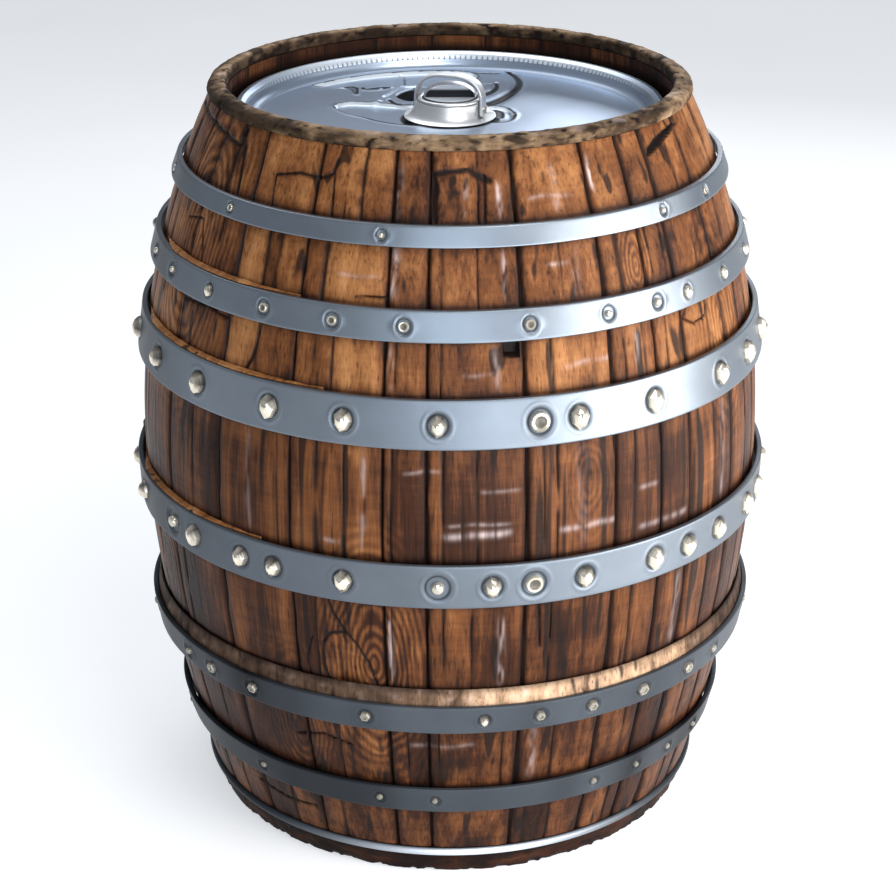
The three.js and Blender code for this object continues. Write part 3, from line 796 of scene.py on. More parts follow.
def stave_columns(start, end, pitch):
    """Angles across a stave, closer together beside its two joints."""
    to_mm = math.radians(1) * BELLY_RADIUS
    count = max(4, round((end - start) * to_mm / pitch))
    inner = [start + (end - start) * i / count for i in range(1, count)]
    beside = [d / to_mm for d in (0, 0.5, 1.0, 1.6, 2.4, 3.4)]
    middle = [a for a in inner if a - start > beside[-1] * 1.2 and end - a > beside[-1] * 1.2]
    return np.array([start + d for d in beside] + middle + [end - d for d in reversed(beside)])


def make_stave(name, joints):
    """A stave's skin: the outer face row by row from the foot up, then the inner one going down."""
    start, end = stave_span(name)
    front = abs(turn((start + end) / 2)) < 100
    columns = stave_columns(start, end, 1.15 if front else 2.4)
    pitch = 1.5 if front else 3.2
    rows = np.linspace(STAVE_FOOT, STAVE_TOP, round((STAVE_TOP - STAVE_FOOT) / pitch))
    angle, height = np.meshgrid(columns, rows)
    wood = wood_at(angle, height, joints)
    outer = barrel_radius(height) + wood.rise
    stepped = np.minimum(outer, REBATE_RADIUS + 0.4 * wood.rise)
    outer = np.where(height < REBATE_TOP, stepped, outer)

    inner_angle, inner_height = np.meshgrid(columns, INNER_LEVELS)
    inner_radius = barrel_radius(np.maximum(inner_height, REBATE_TOP)) - STAVE_THICKNESS
    seat = SEAT_RADIUS - (inner_height - SEAT_FOOT) * SEAT_TAPER
    inner_radius = np.where(inner_height >= SEAT_FOOT, seat, inner_radius)
    inner_radius[-1] = REBATE_RADIUS - STAVE_THICKNESS
    beside = np.minimum(np.abs(turn(inner_angle - start)), np.abs(turn(inner_angle - end)))
    crevice = ridge(beside * math.radians(1) * INSIDE_RADIUS, 1.2)
    # Dark crevices between the staves, and painted shade: the inner face below the rim near black, as
    # the shadow gap round the lid.
    inner_dark_and_shade = np.maximum(crevice, 0.97 * smooth(702, 694, inner_height))
    inner_tone = np.full_like(inner_radius, lattice(int(name[-2:]), 1, 1, 8) - 1.6)

    def stack(*levels):
        return np.concatenate([level.ravel() for level in levels])

    points = around(
        stack(outer, inner_radius), stack(angle, inner_angle), stack(height, inner_height)
    )
    faces = bar_faces(len(rows) + len(INNER_LEVELS), len(columns))
    attributes = {
        "dark": stack(wood.dark, inner_dark_and_shade),
        "wear": stack(wood.wear, np.zeros_like(inner_radius)),
        "tone": stack(wood.tone, inner_tone),
    }
    piece(name + "_oak", (points, faces), stave_oak, [name], attributes, sharp=50)


def make_staves():
    joints = [stave_span(name)[0] for name in STAVE_NAMES]
    for name in STAVE_NAMES:
        make_stave(name, joints)


# ---------------------------------------------------------------- wooden rings and base wire


def ring_piece(name, outline, columns, material, node, shape, sharp=50):
    """A closed outline turned into a ring, then reshaped by shape(radius, angle, height), which
    returns (radius, height, attributes)."""
    radius, angle, height = swept(outline, all_round(columns))
    radius, height, attributes = shape(radius, angle, height)
    piece(name, ring_mesh(radius, angle, height), material, [node], attributes, sharp)


def rim_shape(radius, angle, height):
    at = spread(radius, angle, height)
    knock = grown(at, 7, 5, 71, 3)
    splits = smooth(0.35, 0.75, np.abs(grown(at, 11, 60, 72)))
    outside = smooth(212, 226, radius)
    top = smooth(716, 719.5, height)
    chips = smooth(0.25, 0.7, noise(at[0] / 13, at[1] / 13, 3.3, 73)) * smooth(222, 226, radius)
    radius = radius + outside * (1.1 * knock - 1.0) - 1.5 * chips
    height = height + top * (0.7 * knock - 0.7) - 1.6 * chips * top
    dark = 0.75 * smooth(0.2, 0.6, -knock) + 0.5 * (1 - splits) * smooth(0.2, 0.6, -knock)
    tone = 0.9 * grown(at, 24, 12, 74) + 0.8 * knock + 0.4 * top
    # The outer face is painted darker towards the left, as shade.
    tone = tone - 1.0 * smooth(10, -60, turn(angle)) * outside
    inner = smooth(211.5, 209.5, radius)
    return radius, height, {
        "dark": np.clip(dark + 0.35 * inner, 0, 1),
        "wear": 0.35 * smooth(0.2, 0.8, grown(at, 9, 9, 75)) * top,
        "tone": tone - 0.5 * inner,
    }


def make_rim():
    outline = [(209, 708), (227, 708), (228, 712), (226.4, 716.5), (219, 720), (211, 720),
               (209, 717)]
    outline = refined(rounded(outline, 1.6, 3), 1.6)
    ring_piece("rim_ring", outline, 720, rim_oak, "top_chime_ring", rim_shape)


def foot_shape(radius, angle, height):
    at = spread(radius, angle, height)
    knock = grown(at, 8, 6, 81, 3)
    ragged = smooth(-0.1, 0.7, rough_noise(at[0] / 10, at[1] / 10, 0.5, 82, 3))
    bottom = smooth(6, 0.5, height)
    outside = smooth(238, 243, radius)
    height = height + bottom * ragged * outside * 3.4
    radius = radius + outside * (0.8 * knock - 0.8) - 1.6 * bottom * ragged * outside
    shoulder = smooth(19.5, 20.8, height)
    dark = np.clip(0.75 * bottom + 0.5 * smooth(0.2, 0.8, -knock) + 0.7 * shoulder, 0, 1)
    tone = 0.8 * grown(at, 30, 9, 83) - 1.9
    return radius, height, {"dark": dark, "wear": np.zeros_like(dark), "tone": tone}


def make_foot():
    outline = refined(rounded([(216, 0), (243, 0), (246, 17), (246, 21), (216, 21)], 1.6, 3), 2.0)
    ring_piece("foot_ring", outline, 720, foot_oak, "bottom_chime_ring", foot_shape)


def packing_shape(radius, angle, height):
    at = spread(radius, angle, height)
    knock = grown(at, 9, 9, 91, 3)
    angle = turn(angle)
    grain = noise(angle * 1.9, height / 60, 1.5, 92)
    splits = smooth(0.72, 0.9, noise(angle * 0.45, height / 90, 2.5, 93))
    # Painted light and shade: paler at the front right where the light falls, darker to the left and
    # round the back.
    pale = smooth(-22, 14, angle) * smooth(62, 40, angle)
    tone = 1.9 * pale - 1.65 + 0.45 * grain + 0.35 * knock
    dark = np.clip(splits + 0.35 * smooth(0.3, 0.8, -knock) + 0.6 * smooth(219, 226, height), 0, 1)
    radius = radius + 0.5 * knock * smooth(190, 200, height) - 0.8 * splits
    return radius, height, {"dark": dark, "wear": 0.25 * smooth(0.1, 0.7, knock), "tone": tone}


def make_packing_ring():
    """A wedge between the staves and the fifth hoop, which shows above the hoop."""
    low, middle, high = 184.0, 205.0, 226.0
    _, hoop_high, hoop_stand = HOOPS[4][:3]

    def inner(height):
        return barrel_radius(height) + 1.0

    outline = [
        (inner(low), low),
        (barrel_radius(low) + hoop_stand - 6.5, low),
        (barrel_radius(hoop_high) + hoop_stand - 5.5, hoop_high + 0.6),
        (inner(high) + 1.6, high),
        (inner(high), high),
        (inner(middle), middle),
    ]
    outline = refined(rounded(outline, 0.8, 2), 1.8)
    ring_piece("packing_ring_oak", outline, 540, raw_oak, "packing_ring", packing_shape)


WIRE_RADIUS, WIRE_HEIGHT, WIRE_HALF = 248.0, 25.2, 3.9


def wire_shape(radius, angle, height):
    # Painted highlight at the front, just right of the middle, and painted shade round the rest of the
    # wire.
    painted_shine = ridge(turn(angle - 6), 30) * smooth(WIRE_RADIUS, WIRE_RADIUS + 2.5, radius)
    return radius, height, {"dark": 0.95 * (1 - painted_shine), "wear": 0.8 * painted_shine}


def make_base_wire():
    section = np.radians(all_round(16))
    outline = np.stack(
        [WIRE_RADIUS + WIRE_HALF * np.cos(section), WIRE_HEIGHT + WIRE_HALF * np.sin(section)], -1
    )
    ring_piece("base_wire", outline, 360, hoop_steel, "base_wire_ring", wire_shape)


# ---------------------------------------------------------------- hoops and studs

# From the top down: low, high, how far the face stands off the staves, the lap's angle, the
# studs' size, how many studs are at the rear, and the front studs as (angle, kind). The rear ones
# are spaced evenly between the last front one and the first.
SMALL, RING, DROP, NUT = "small", "ring", "drop", "nut"
HOOPS = [
    (634, 652, 8, 172, 3.6, 7, [(-48, RING), (-13, SMALL), (46, SMALL), (62, RING)]),
    (557, 584, 8, 185, 5.0, 11, [
        (-75, SMALL), (-63, SMALL), (-49, DROP), (-35, RING), (-21, RING), (-8, RING), (14, RING),
        (29, SMALL), (40, SMALL), (48, DROP), (61, DROP), (76, DROP)]),
    (465, 509, 8, 168, 8.8, 9, [
        (-80, DROP), (-64, DROP), (-49, DROP), (-32, DROP), (-18, DROP), (-2, DROP), (15, RING),
        (22, DROP), (37, DROP), (55, DROP), (67, DROP), (80, DROP)]),
    (315, 357, 8, 258, 8.8, 9, [
        (-88, DROP), (-72, DROP), (-57, SMALL), (-50, DROP), (-38, DROP), (-31, DROP), (-18, DROP),
        (-2, SMALL), (7, DROP), (14, RING), (23, DROP), (37, DROP), (45, DROP), (54, DROP),
        (66, DROP), (74, DROP), (88, DROP)]),
    (182, 211, 13, 190, 5.5, 10, [
        (-57, SMALL), (-49, NUT), (-38, NUT), (-15, NUT), (6, DROP), (16, NUT), (26, NUT),
        (37, NUT), (49, NUT), (58, SMALL)]),
    (82, 110, 7, 176, 4.2, 7, [
        (-41, SMALL), (-14, SMALL), (-3, SMALL), (30, SMALL), (41, SMALL), (51, SMALL),
        (62, SMALL)]),
]
# How dark each hoop is painted, from the top down, at these angles: painted shade at the left and right
# sides and round the back, least at the front. The lower ones are the darkest, with grime and painted
# shade.
SHADE_AND_GRIME_ANGLES = [-180, -95, -70, -45, -12, 12, 35, 60, 85, 180]
HOOP_SHADE_AND_GRIME = [
    [0.30, 0.50, 0.60, 0.02, 0.15, 0.00, 0.00, 0.05, 0.35, 0.30],
    [0.30, 0.65, 0.70, 0.10, 0.20, 0.18, 0.00, 0.15, 0.50, 0.30],
    [0.30, 0.70, 0.72, 0.15, 0.33, 0.26, 0.00, 0.12, 0.60, 0.30],
    [0.45, 0.80, 0.80, 0.62, 0.50, 0.36, 0.10, 0.36, 0.80, 0.45],
    [0.80, 0.93, 0.93, 0.92, 0.80, 0.75, 0.82, 0.76, 0.90, 0.80],
    [0.90, 0.99, 0.99, 0.96, 0.88, 0.84, 0.88, 0.94, 0.97, 0.90],
]
LAP_SPAN, LAP_RISE = 13, 3.0
HOOP_THICKNESS = 5.4
HOOP_RADIUS = 290.0  # about, to turn mm into angles

# Each kind's sides, how far it stands out as a share of its size, and its rings from the buried
# foot outwards as (share of the size, share of the stand-out). The last pair is the middle.
STUD_SHAPES = {
    DROP: (7, 0.90, [(1.04, None), (1.04, -0.10), (0.98, 0.28), (0.66, 0.70), (0.28, 0.93), (0, 1.0)]),
    NUT: (6, 0.62, [(1.0, None), (1.0, 0.40), (0.86, 0.72), (0.50, 0.78), (0.40, 0.45), (0, 0.40)]),
    RING: (28, 0.42, [(0.95, None), (0.95, 0.20), (0.84, 0.60), (0.62, 0.55), (0.48, 0.0), (0, -0.3)]),
    SMALL: (20, 0.50, [(0.70, None), (0.70, 0.10), (0.58, 0.55), (0.30, 0.85), (0, 0.9)]),
}
STUD_FOOT = -2.6
STUD_GRIME_AND_SHADE = [0.45, 0.45, 0.40, 0.40, 0.78, 0.85]  # grime and painted shade of the plainer heads, hoop by hoop


def all_studs(front, rear_count):
    """The front studs and the rear ones."""
    first, last = front[0][0], front[-1][0]
    spacing = (first + 360 - last) / (rear_count + 1)
    return front + [(last + spacing * (i + 1), front[-1][1]) for i in range(rear_count)]


def hoop_columns(studs, lap, reach):
    """Angles round a hoop, closer together within reach of its studs and at its lap."""
    angles = list(np.arange(0, 360, 1.0))
    for place, _ in studs:
        angles += list(place + np.arange(-reach, reach + 0.01, 0.22))
    for edge in (lap - LAP_SPAN / 2, lap + LAP_SPAN / 2):
        angles += list(edge + np.array([-0.3, -0.15, -0.05, 0.05, 0.15, 0.3]))
    angles = np.unique(np.round(np.mod(angles, 360), 2))
    gaps = np.diff(np.append(angles, angles[0] + 360))
    return angles[gaps > 0.08]


def make_band(number, low, high, stand, lap, size, studs):
    """A hoop's band, dented round its studs and stepped at its lap."""

    def face(height):
        return barrel_radius(height) + stand

    corners = [(face(low) - HOOP_THICKNESS, low), (face(low), low), (face(high), high),
               (face(high) - HOOP_THICKNESS, high)]
    outline = refined(rounded(corners, 1.7, 4), 1.6)
    columns = hoop_columns(studs, lap, math.degrees(size * 2.1 / HOOP_RADIUS))
    radius, angle, height = swept(outline, columns)
    # Painted shade and grime round the hoop, from the table.
    shade_and_grime = np.interp(turn(columns), SHADE_AND_GRIME_ANGLES, HOOP_SHADE_AND_GRIME[number - 1])
    spot = around(8.0, columns, float(number)).T
    dark = shade_and_grime * (1 + 0.10 * noise(*spot, 96)) + np.zeros_like(radius)
    rise = np.zeros_like(radius)
    to_mm = np.radians(1) * radius
    for place, kind in studs:
        across = turn(angle - place) * to_mm
        away = np.hypot(across, (height - (low + high) / 2) * 0.95)
        bowl = size * (1.15 if kind == DROP else 1.35)
        dent = 1.6 * smooth(bowl * 1.25, bowl * 0.7, away)
        rise = rise - dent + 0.5 * ridge(away - bowl * 1.32, 1.1)
        # Painted shade: a dark ring in each stud's dent.
        dark = np.maximum(dark, 0.92 * ridge(away - bowl * 0.92, size * 0.22))
    ripple = 0.25 * noise(*spot, 95)
    lapped = smooth(LAP_SPAN / 2 + 0.08, LAP_SPAN / 2 - 0.08, np.abs(turn(angle - lap)))
    lapped = lapped * smooth(low, low + 2, height) * smooth(high, high - 2, height)
    outside = smooth(-2.5, -1.2, radius - face(height))
    radius = radius + outside * (rise + ripple + LAP_RISE * lapped)
    name = f"hoop_{number}"
    piece(name + "_band", ring_mesh(radius, angle, height), hoop_steel, [name], {"dark": dark})


def make_studs(number, height, face, size, studs):
    """A hoop's studs, all at one height and on one radius."""
    heads = [stud_head(kind, size, place, height, face) for place, kind in studs]
    aged_and_shaded = [0.9 * STUD_GRIME_AND_SHADE[number - 1] * (kind != DROP) for _, kind in studs]
    grime_and_shade = np.concatenate([np.maximum(head[2], least) for head, least in zip(heads, aged_and_shaded)])
    solid = joined([head[:2] for head in heads])
    piece(f"hoop_{number}_studs", solid, stud_steel, [], {"dark": grime_and_shade}, sharp=28)


def stud_head(kind, size, place, height, face):
    """One riveted head, standing out from the hoop's face: its points, faces and painted shade."""
    sides, stand, levels = STUD_SHAPES[kind]
    spokes = np.radians(all_round(sides))
    vary = 0.88 + 0.24 * lattice(int(place * 7), 1, 2, 77)
    tilt = 2 * math.pi * lattice(int(place * 5), 3, 2, 78)
    rings, grime_and_shade = [], []
    for share, level in levels[:-1]:
        across = size * share * vary * np.cos(spokes)
        upward = size * share * vary * np.sin(spokes)
        out = np.full(sides, STUD_FOOT if level is None else level * stand * size)
        shade = np.zeros(sides)
        if kind == DROP:
            taper = np.clip(-np.sin(spokes), 0, 1)
            upward = upward * 1.10 - size * 0.16 * share * taper**3
            across = across * (0.90 - 0.20 * taper**2)
            facet = 0.05 * np.cos(3 * spokes + tilt)
            out = out * (1 + facet * share)
            # Painted shade: each drop is darker on one side.
            shadow = smooth(0.1, 0.9, np.sin(spokes + 0.6) + 0.35 * np.cos(3 * spokes + tilt))
            shade = smooth(0.35, 0.75, share) * (0.20 + 0.75 * shadow)
        elif kind == RING:
            # Painted shade in the ring's hollow middle and round the small studs' feet.
            shade = shade + 0.85 * (share < 0.55)
        elif kind == SMALL:
            shade = shade + 0.5 * (share > 0.65)
        rings.append(np.stack([across, upward, out], axis=-1))
        grime_and_shade.append(shade)
    middle = levels[-1][1] * stand * size
    poles = [[[0, 0, STUD_FOOT]], [[0, size * 0.05, middle]]]
    grime_and_shade.append([0.0, 0.9 if kind == RING else 0.0])
    points, faces = capped(np.concatenate([*rings, *poles]), sides)
    return placed(points, place, height, face), faces, np.concatenate(grime_and_shade)


def placed(local, place, height, face):
    """Points given as (across, up, out) put on the keg's side, square to its slope."""
    lean = math.atan(barrel_lean(height))
    spin = math.radians(place)
    flat = math.cos(lean)
    outward = np.array([math.sin(spin) * flat, -math.cos(spin) * flat, -math.sin(lean)])
    across = np.array([math.cos(spin), math.sin(spin), 0.0])
    upward = np.cross(across, -outward)
    origin = around(face, place, height)
    return origin + local[:, :1] * across + local[:, 1:2] * upward + local[:, 2:] * outward


def make_hoops():
    for number, (low, high, stand, lap, size, rear_count, front) in enumerate(HOOPS, start=1):
        studs = all_studs(front, rear_count)
        middle = (low + high) / 2
        make_band(number, low, high, stand, lap, size, studs)
        make_studs(number, middle, barrel_radius(middle) + stand, size, studs)


# Slivers of wood raised along the top edge of a hoop: its number, and where they start and end.
SLIVERS = [(2, -74, -28), (3, -78, -22), (4, -80, -34)]
SLIVER_SECTION = [(0.4, -5), (2.2, -5), (2.3, 0.5), (5.6, 0.4), (6.6, 1.2), (5.0, 2.4), (0.4, 3.0)]


def make_slivers():
    outline = refined(rounded(SLIVER_SECTION, 0.5, 2), 1.2)
    for number, start, end in SLIVERS:
        high = HOOPS[number - 1][1]
        columns = np.arange(start, end, 0.25)
        share = smooth(start, start + 9, columns) * smooth(end, end - 16, columns)
        ragged = rough_noise(columns / 2.3, number, 0.5, 111, 3)
        out = outline[:, :1] * (0.12 + 0.88 * share) + 0.5 * ragged * (outline[:, :1] > 3)
        up = outline[:, 1:] * (0.35 + 0.65 * share) + 0.7 * ragged * (outline[:, 1:] > 1)
        angle = np.broadcast_to(columns, out.shape)
        points = around(barrel_radius(high) + out, angle, high + up).reshape(-1, 3)
        solid = points, bar_faces(*out.shape)
        tone = 0.7 + 0.6 * ragged + np.zeros_like(out)
        plain = np.zeros_like(out)
        attributes = {"dark": plain, "wear": plain, "tone": tone}
        piece(f"hoop_{number}_sliver", solid, stave_oak, [], attributes, sharp=50)


# ---------------------------------------------------------------- lid

LID_PANEL, LID_UNDERSIDE, LID_HOLE = 679.0, 675.0, 36.3
VENT_DEPTH, PLUG_FILL = 3.4, 0.86
CRIMPS, CRIMP_COLUMNS = 220, 8
# Outlines on the lid, as (x, y) from its middle.
LEAF_RECESS = [(-134, 116), (-121, 133), (-98, 151), (-62, 168), (-20, 176), (18, 171), (28, 148),
               (8, 119), (-30, 112), (-90, 107)]
TONGUE_RECESS = [(-111, 37), (-107, 47), (-94, 53), (-74, 49), (-40, 42), (0, 52), (48, 34), (59, 16),
                 (61, 0), (54, -18), (37, -24), (9, -36), (-12, -38), (-44, -30), (-63, -20),
                 (-79, -6), (-96, 8), (-108, 27)]
LEAF_MARK = [(-86, 101), (-80, 114), (-69, 119), (-60, 120), (-58, 112), (-63, 102), (-74, 98)]
VENT_HOLE = [(-53, 76), (-45, 97), (-34, 103), (-33, 60), (-44, 58)]
VENT_CENTRE = np.array([-42, 79])  # the plug is the hole's outline drawn in towards this
# Sunk shapes: outline, depth, width of the sloping wall, how dark the floor is painted as shade. Each
# edge also gets a painted shadow line.
LID_RECESSES = [
    (LEAF_RECESS, 3.2, 3.4, 0.10),
    (TONGUE_RECESS, 2.9, 3.0, 0.0),
    (LEAF_MARK, 1.3, 3.0, 0.35),
    ([(-106, 118), (-94, 120), (-91, 82), (-97, 100), (-104, 107)], 1.4, 3.0, 0.7),
    ([(34, 27), (42, 27), (42, 3), (36, 12)], 2.6, 1.5, 1.0),
    ([(44, 28), (50, 21), (49, 3), (44, 8)], 2.6, 1.5, 1.0),
]
# Grooves, and with a negative depth ridges: path, widths at its two ends, depth, how dark the groove is
# painted as shade.
LID_LINES = [
    ([(58, 174), (65, 158), (69, 130), (65, 102), (54, 72), (43, 53), (36, 45)], 2.6, 7.0, 2.2, 1.0),
    ([(46, 128), (46, 110), (41, 93), (32, 79)], 2.0, 4.8, 1.7, 1.0),
    ([(31, 120), (42, 124)], 1.4, 1.4, 0.7, 0.9),
    ([(26, 168), (49, 167)], 2.4, 2.4, 1.2, 1.0),
    ([(-50, 168), (-46, 154), (-45, 130), (-46, 122)], 1.5, 1.1, 0.8, 0.95),
    ([(-59, 62), (-54, 49), (-47, 41), (-37, 37)], 2.0, 4.0, 1.2, 1.0),
    ([(-64, 74), (-54, 97), (-45, 109), (-33, 111)], 2.4, 2.4, -1.5, 0.0),
    ([(-72, 47), (-70, 56)], 4.0, 4.0, -1.6, 0.0),
    ([(-68, 107), (-66, 110)], 2.2, 2.2, -1.6, 0.0),
]


def lid_curve(points, closed):
    return [tuple(p) for p in curve_through(points, 6, closed)]


def lid_relief(x, y):
    """How far the lid's panel sinks at a place, and how dark it is painted there, as shade along the
    edges, in the hollows and in the grooves.
    """
    sunk = np.zeros_like(x)
    dark = np.zeros_like(x)
    for outline, depth, wall, shade in LID_RECESSES:
        edge, inside = edge_and_inside(x, y, lid_curve(outline, True))
        sunk = np.where(inside, np.maximum(sunk, depth * smooth(0, wall, edge)), sunk)
        sunk = sunk - 0.55 * np.where(inside, 0, ridge(edge - 2.0, 2.2))
        widened = 1 + 1.3 * smooth(12, -22, y)  # a broader painted shadow line towards the front
        dark = np.maximum(dark, smooth(2.0 * widened, 1.1 * widened, edge))
        dark = np.maximum(dark, np.where(inside, shade * smooth(0, wall, edge), 0))
    hole = inside_path(x, y, lid_curve(VENT_HOLE, True))
    sunk = np.where(hole, VENT_DEPTH, sunk)
    dark = np.where(hole, 1.0, dark)
    for path, start, end, depth, shade in LID_LINES:
        away, share = nearest_on_path(x, y, lid_curve(path, False))
        width = start + (end - start) * share
        sunk = sunk + depth * ridge(away, width)
        dark = np.maximum(dark, shade * smooth(width * 1.2, width * 0.75, away))
    return sunk, dark


# The panel's top, and the bead's and its crimped crown's outlines.
PANEL_TOP = [(r, LID_PANEL) for r in np.arange(LID_HOLE, 183.2, 1.15)]
BEAD_TOP = [(182.8, 679), (186, 680.4), (188.6, 683.4), (190.6, 687.6), (193, 691.6),
            (196.6, 694.2), (200.4, 693.8), (202.6, 691), (203, 685), (203, 676)]
BEAD_UNDER = [(199.3, 676), (199.3, 687), (196, 689), (191.5, 684.5), (186, 675), (182.8, 675)]
CROWN = [(190.2, 688.2), (192.5, 692.3), (196.4, 694.9), (200.9, 694.4), (201.4, 692.4),
         (196.6, 692.6), (193.8, 690.0), (191.4, 687.0)]


def far_walls(x, y):
    """1 on the far walls of the two large recesses, which get a painted highlight."""
    lit = np.zeros_like(x)
    for outline, _, wall, _ in LID_RECESSES[:2]:
        path = lid_curve(outline, True)
        edge, inside = edge_and_inside(x, y, path)
        at_back = inside & ~inside_path(x, y + 6, path)
        lit = np.maximum(lit, ridge(edge - wall / 2, wall * 0.7) * at_back)
    return lit


def panel_shape(radius, angle, height):
    x, y, _ = spread(radius, angle, height)
    sunk, dark = lid_relief(x, y)
    on_top = np.arange(len(radius))[:, None] < len(PANEL_TOP)
    fade = on_top * smooth(182.5, 179, radius)
    waves = 0.30 * noise(x / 45, y / 45, 0.5, 101) * smooth(182, 170, radius)
    lit = far_walls(x, y)
    # Painted shade in a ring round the neck's foot.
    dark = np.maximum(dark, smooth(48.5, 46.0, radius))
    height = height - (sunk - waves) * fade
    # The far walls get a painted highlight through wear.
    return radius, height, {"dark": dark * on_top * (1 - lit), "wear": lit * on_top}


def bead_shape(radius, angle, height):
    on_inner_slope = np.arange(len(radius))[:, None] < 16
    # Painted shade in the trough inside the bead.
    dark = 0.35 * ridge(radius - 184.5, 2.5) * on_inner_slope
    return radius, height, {"dark": dark, "wear": np.zeros_like(dark)}


def crimp_shape(radius, angle, height):
    wander = 1.5 * noise(*spread(11, angle, 0.5), 103)
    tooth = smooth(0.35, 0.85, np.cos(np.radians(angle) * CRIMPS + wander))
    lower = smooth(192.6, 191.0, radius)
    # Dark ticks painted as the shade between the crimps, painted shadow along the outer edge by the
    # staves, and a painted highlight on the back of the crown.
    dark = 0.62 * tooth * lower + 0.5 * smooth(200.4, 201.2, radius)
    wear = 0.9 * (1 - dark) * smooth(95, 150, np.abs(turn(angle)))
    return radius, height, {"dark": dark, "wear": wear}


def make_lid():
    underside = [(183.2, LID_UNDERSIDE), (120, LID_UNDERSIDE), (LID_HOLE, LID_UNDERSIDE)]
    bead = [*curve_through(BEAD_TOP, 4, False), *BEAD_UNDER]
    crown = refined(rounded(CROWN, 0.5, 2), 1.0)
    for name, outline, columns, shape in (
        ("lid_panel", [*PANEL_TOP, *underside], 720, panel_shape),
        ("lid_bead", bead, 480, bead_shape),
        ("lid_crimps", crown, CRIMPS * CRIMP_COLUMNS, crimp_shape),
    ):
        ring_piece(name, outline, columns, lid_steel, "keg_lid", shape, sharp=45)


def prism(path, low, high, crown, inset):
    """A closed plan outline raised between two heights, with a softened top edge."""
    centre = path.mean(axis=0)
    shrink = 1 - inset / np.abs(path - centre).max()
    levels = [(1.0, low), (1.0, high - 0.8), ((1 + shrink) / 2, high - 0.25), (shrink, high)]
    rings = []
    for scale, level in levels:
        plan = centre + (path - centre) * scale
        rings.append(np.column_stack([plan, np.full(len(path), level)]))
    return capped(np.concatenate([*rings, [[*centre, low]], [[*centre, high + crown]]]), len(path))


def make_seals():
    outline = rounded([(203.6, 674), (211.2, 674), (208.9, 686), (203.6, 684)], 0.9, 3)
    piece("rim_seal_rubber", lathe(outline, 240), black_rubber, ["rim_seal"], sharp=35)
    shrunk = VENT_CENTRE + (np.array(VENT_HOLE) - VENT_CENTRE) * PLUG_FILL
    plug = prism(curve_through(shrunk, 6, True), 672.0, 677.9, crown=0.3, inset=1.2)
    piece("relief_plug_rubber", plug, black_rubber, ["relief_plug"], sharp=35)


# ---------------------------------------------------------------- tapping valve

BAIL_TURN = math.radians(-20)
PIVOT_REACH, PIVOT_HEIGHT, PIVOT_DISC = 32.5, 687.5, 6.5
NECK_TOP = 698.2
NECK_FLAT, NECK_FLAT_HALF, NECK_FLAT_LOW = 30.6, 17.0, 680.6  # flat sides under the bail's feet
PLUNGER_RADIUS, PLUNGER_DECK, PLUNGER_TOP = 24.6, 699.2, 712.0
HOOD_FRONT = 8.0
SPRING_SEAT = 698.2  # the roof of the groove under the plunger's plate
SPRING_FOOT, SPRING_TOP, SPRING_TURNS = 671.8, 688.6, 5
SPRING_RADIUS, SPRING_WIRE = 18.0, 1.1


def turned_to_bail(points):
    """Points built along X, turned to the bail's own direction."""
    x = points[:, 0] * math.cos(BAIL_TURN) - points[:, 1] * math.sin(BAIL_TURN)
    y = points[:, 0] * math.sin(BAIL_TURN) + points[:, 1] * math.cos(BAIL_TURN)
    return np.column_stack([x, y, points[:, 2]])


def rod_along_x(radius, start, end, height, dome=0.0):
    """A round bar along X with softened ends."""
    sides = 24
    spokes = np.radians(all_round(sides))
    way = math.copysign(1, end - start)
    rings = []
    for x, share in [(start, 0.9), (start + 0.3 * way, 1.0), (end - 0.5 * way, 1.0), (end, 0.8)]:
        y, z = radius * share * np.cos(spokes), height + radius * share * np.sin(spokes)
        rings.append(np.column_stack([np.full(sides, x), y, z]))
    ends = [[[start, 0, height]], [[end + dome * way, 0, height]]]
    return capped(np.concatenate([*rings, *ends]), sides)


def make_neck():
    outline = [
        (22, 660), (35.6, 660), (35.6, 679.3), (43.5, 679.3), (43.5, 680.4), (41.3, 681.3),
        (39.3, 682.7), (37.5, 684.6), (36, 686.8), (34.2, 689.8), (32.8, 692.6), (31.6, 695.2),
        (30.7, 695.9), (30.6, 696.6), (30.2, 697.7), (29.2, NECK_TOP), (27, NECK_TOP),
        (26, NECK_TOP - 1.5), (26, 668), (22, 668),
    ]
    points, faces = lathe(refined(rounded(outline, 0.5, 2), 1.1), 180)
    x, y, z = points.T
    radius = np.hypot(x, y)
    beside = (np.abs(y) < NECK_FLAT_HALF) & (z > NECK_FLAT_LOW) & (np.abs(x) > NECK_FLAT)
    points[:, 0] = np.where(beside, np.sign(x) * NECK_FLAT, x)
    # Painted shade: on the flange's lower edge, a line at the step near the top, and inside the bore.
    dark = smooth(680.3, 679.9, z) * (radius > 41)
    dark = np.maximum(dark, 0.85 * ridge(z - 695.7, 0.6) * (radius > 30))
    dark = np.maximum(dark, 0.9 * (radius < 27) * (z < NECK_TOP - 2))
    neck = turned_to_bail(points), faces
    piece("neck", neck, neck_steel, ["valve_neck"], {"dark": dark}, sharp=32)


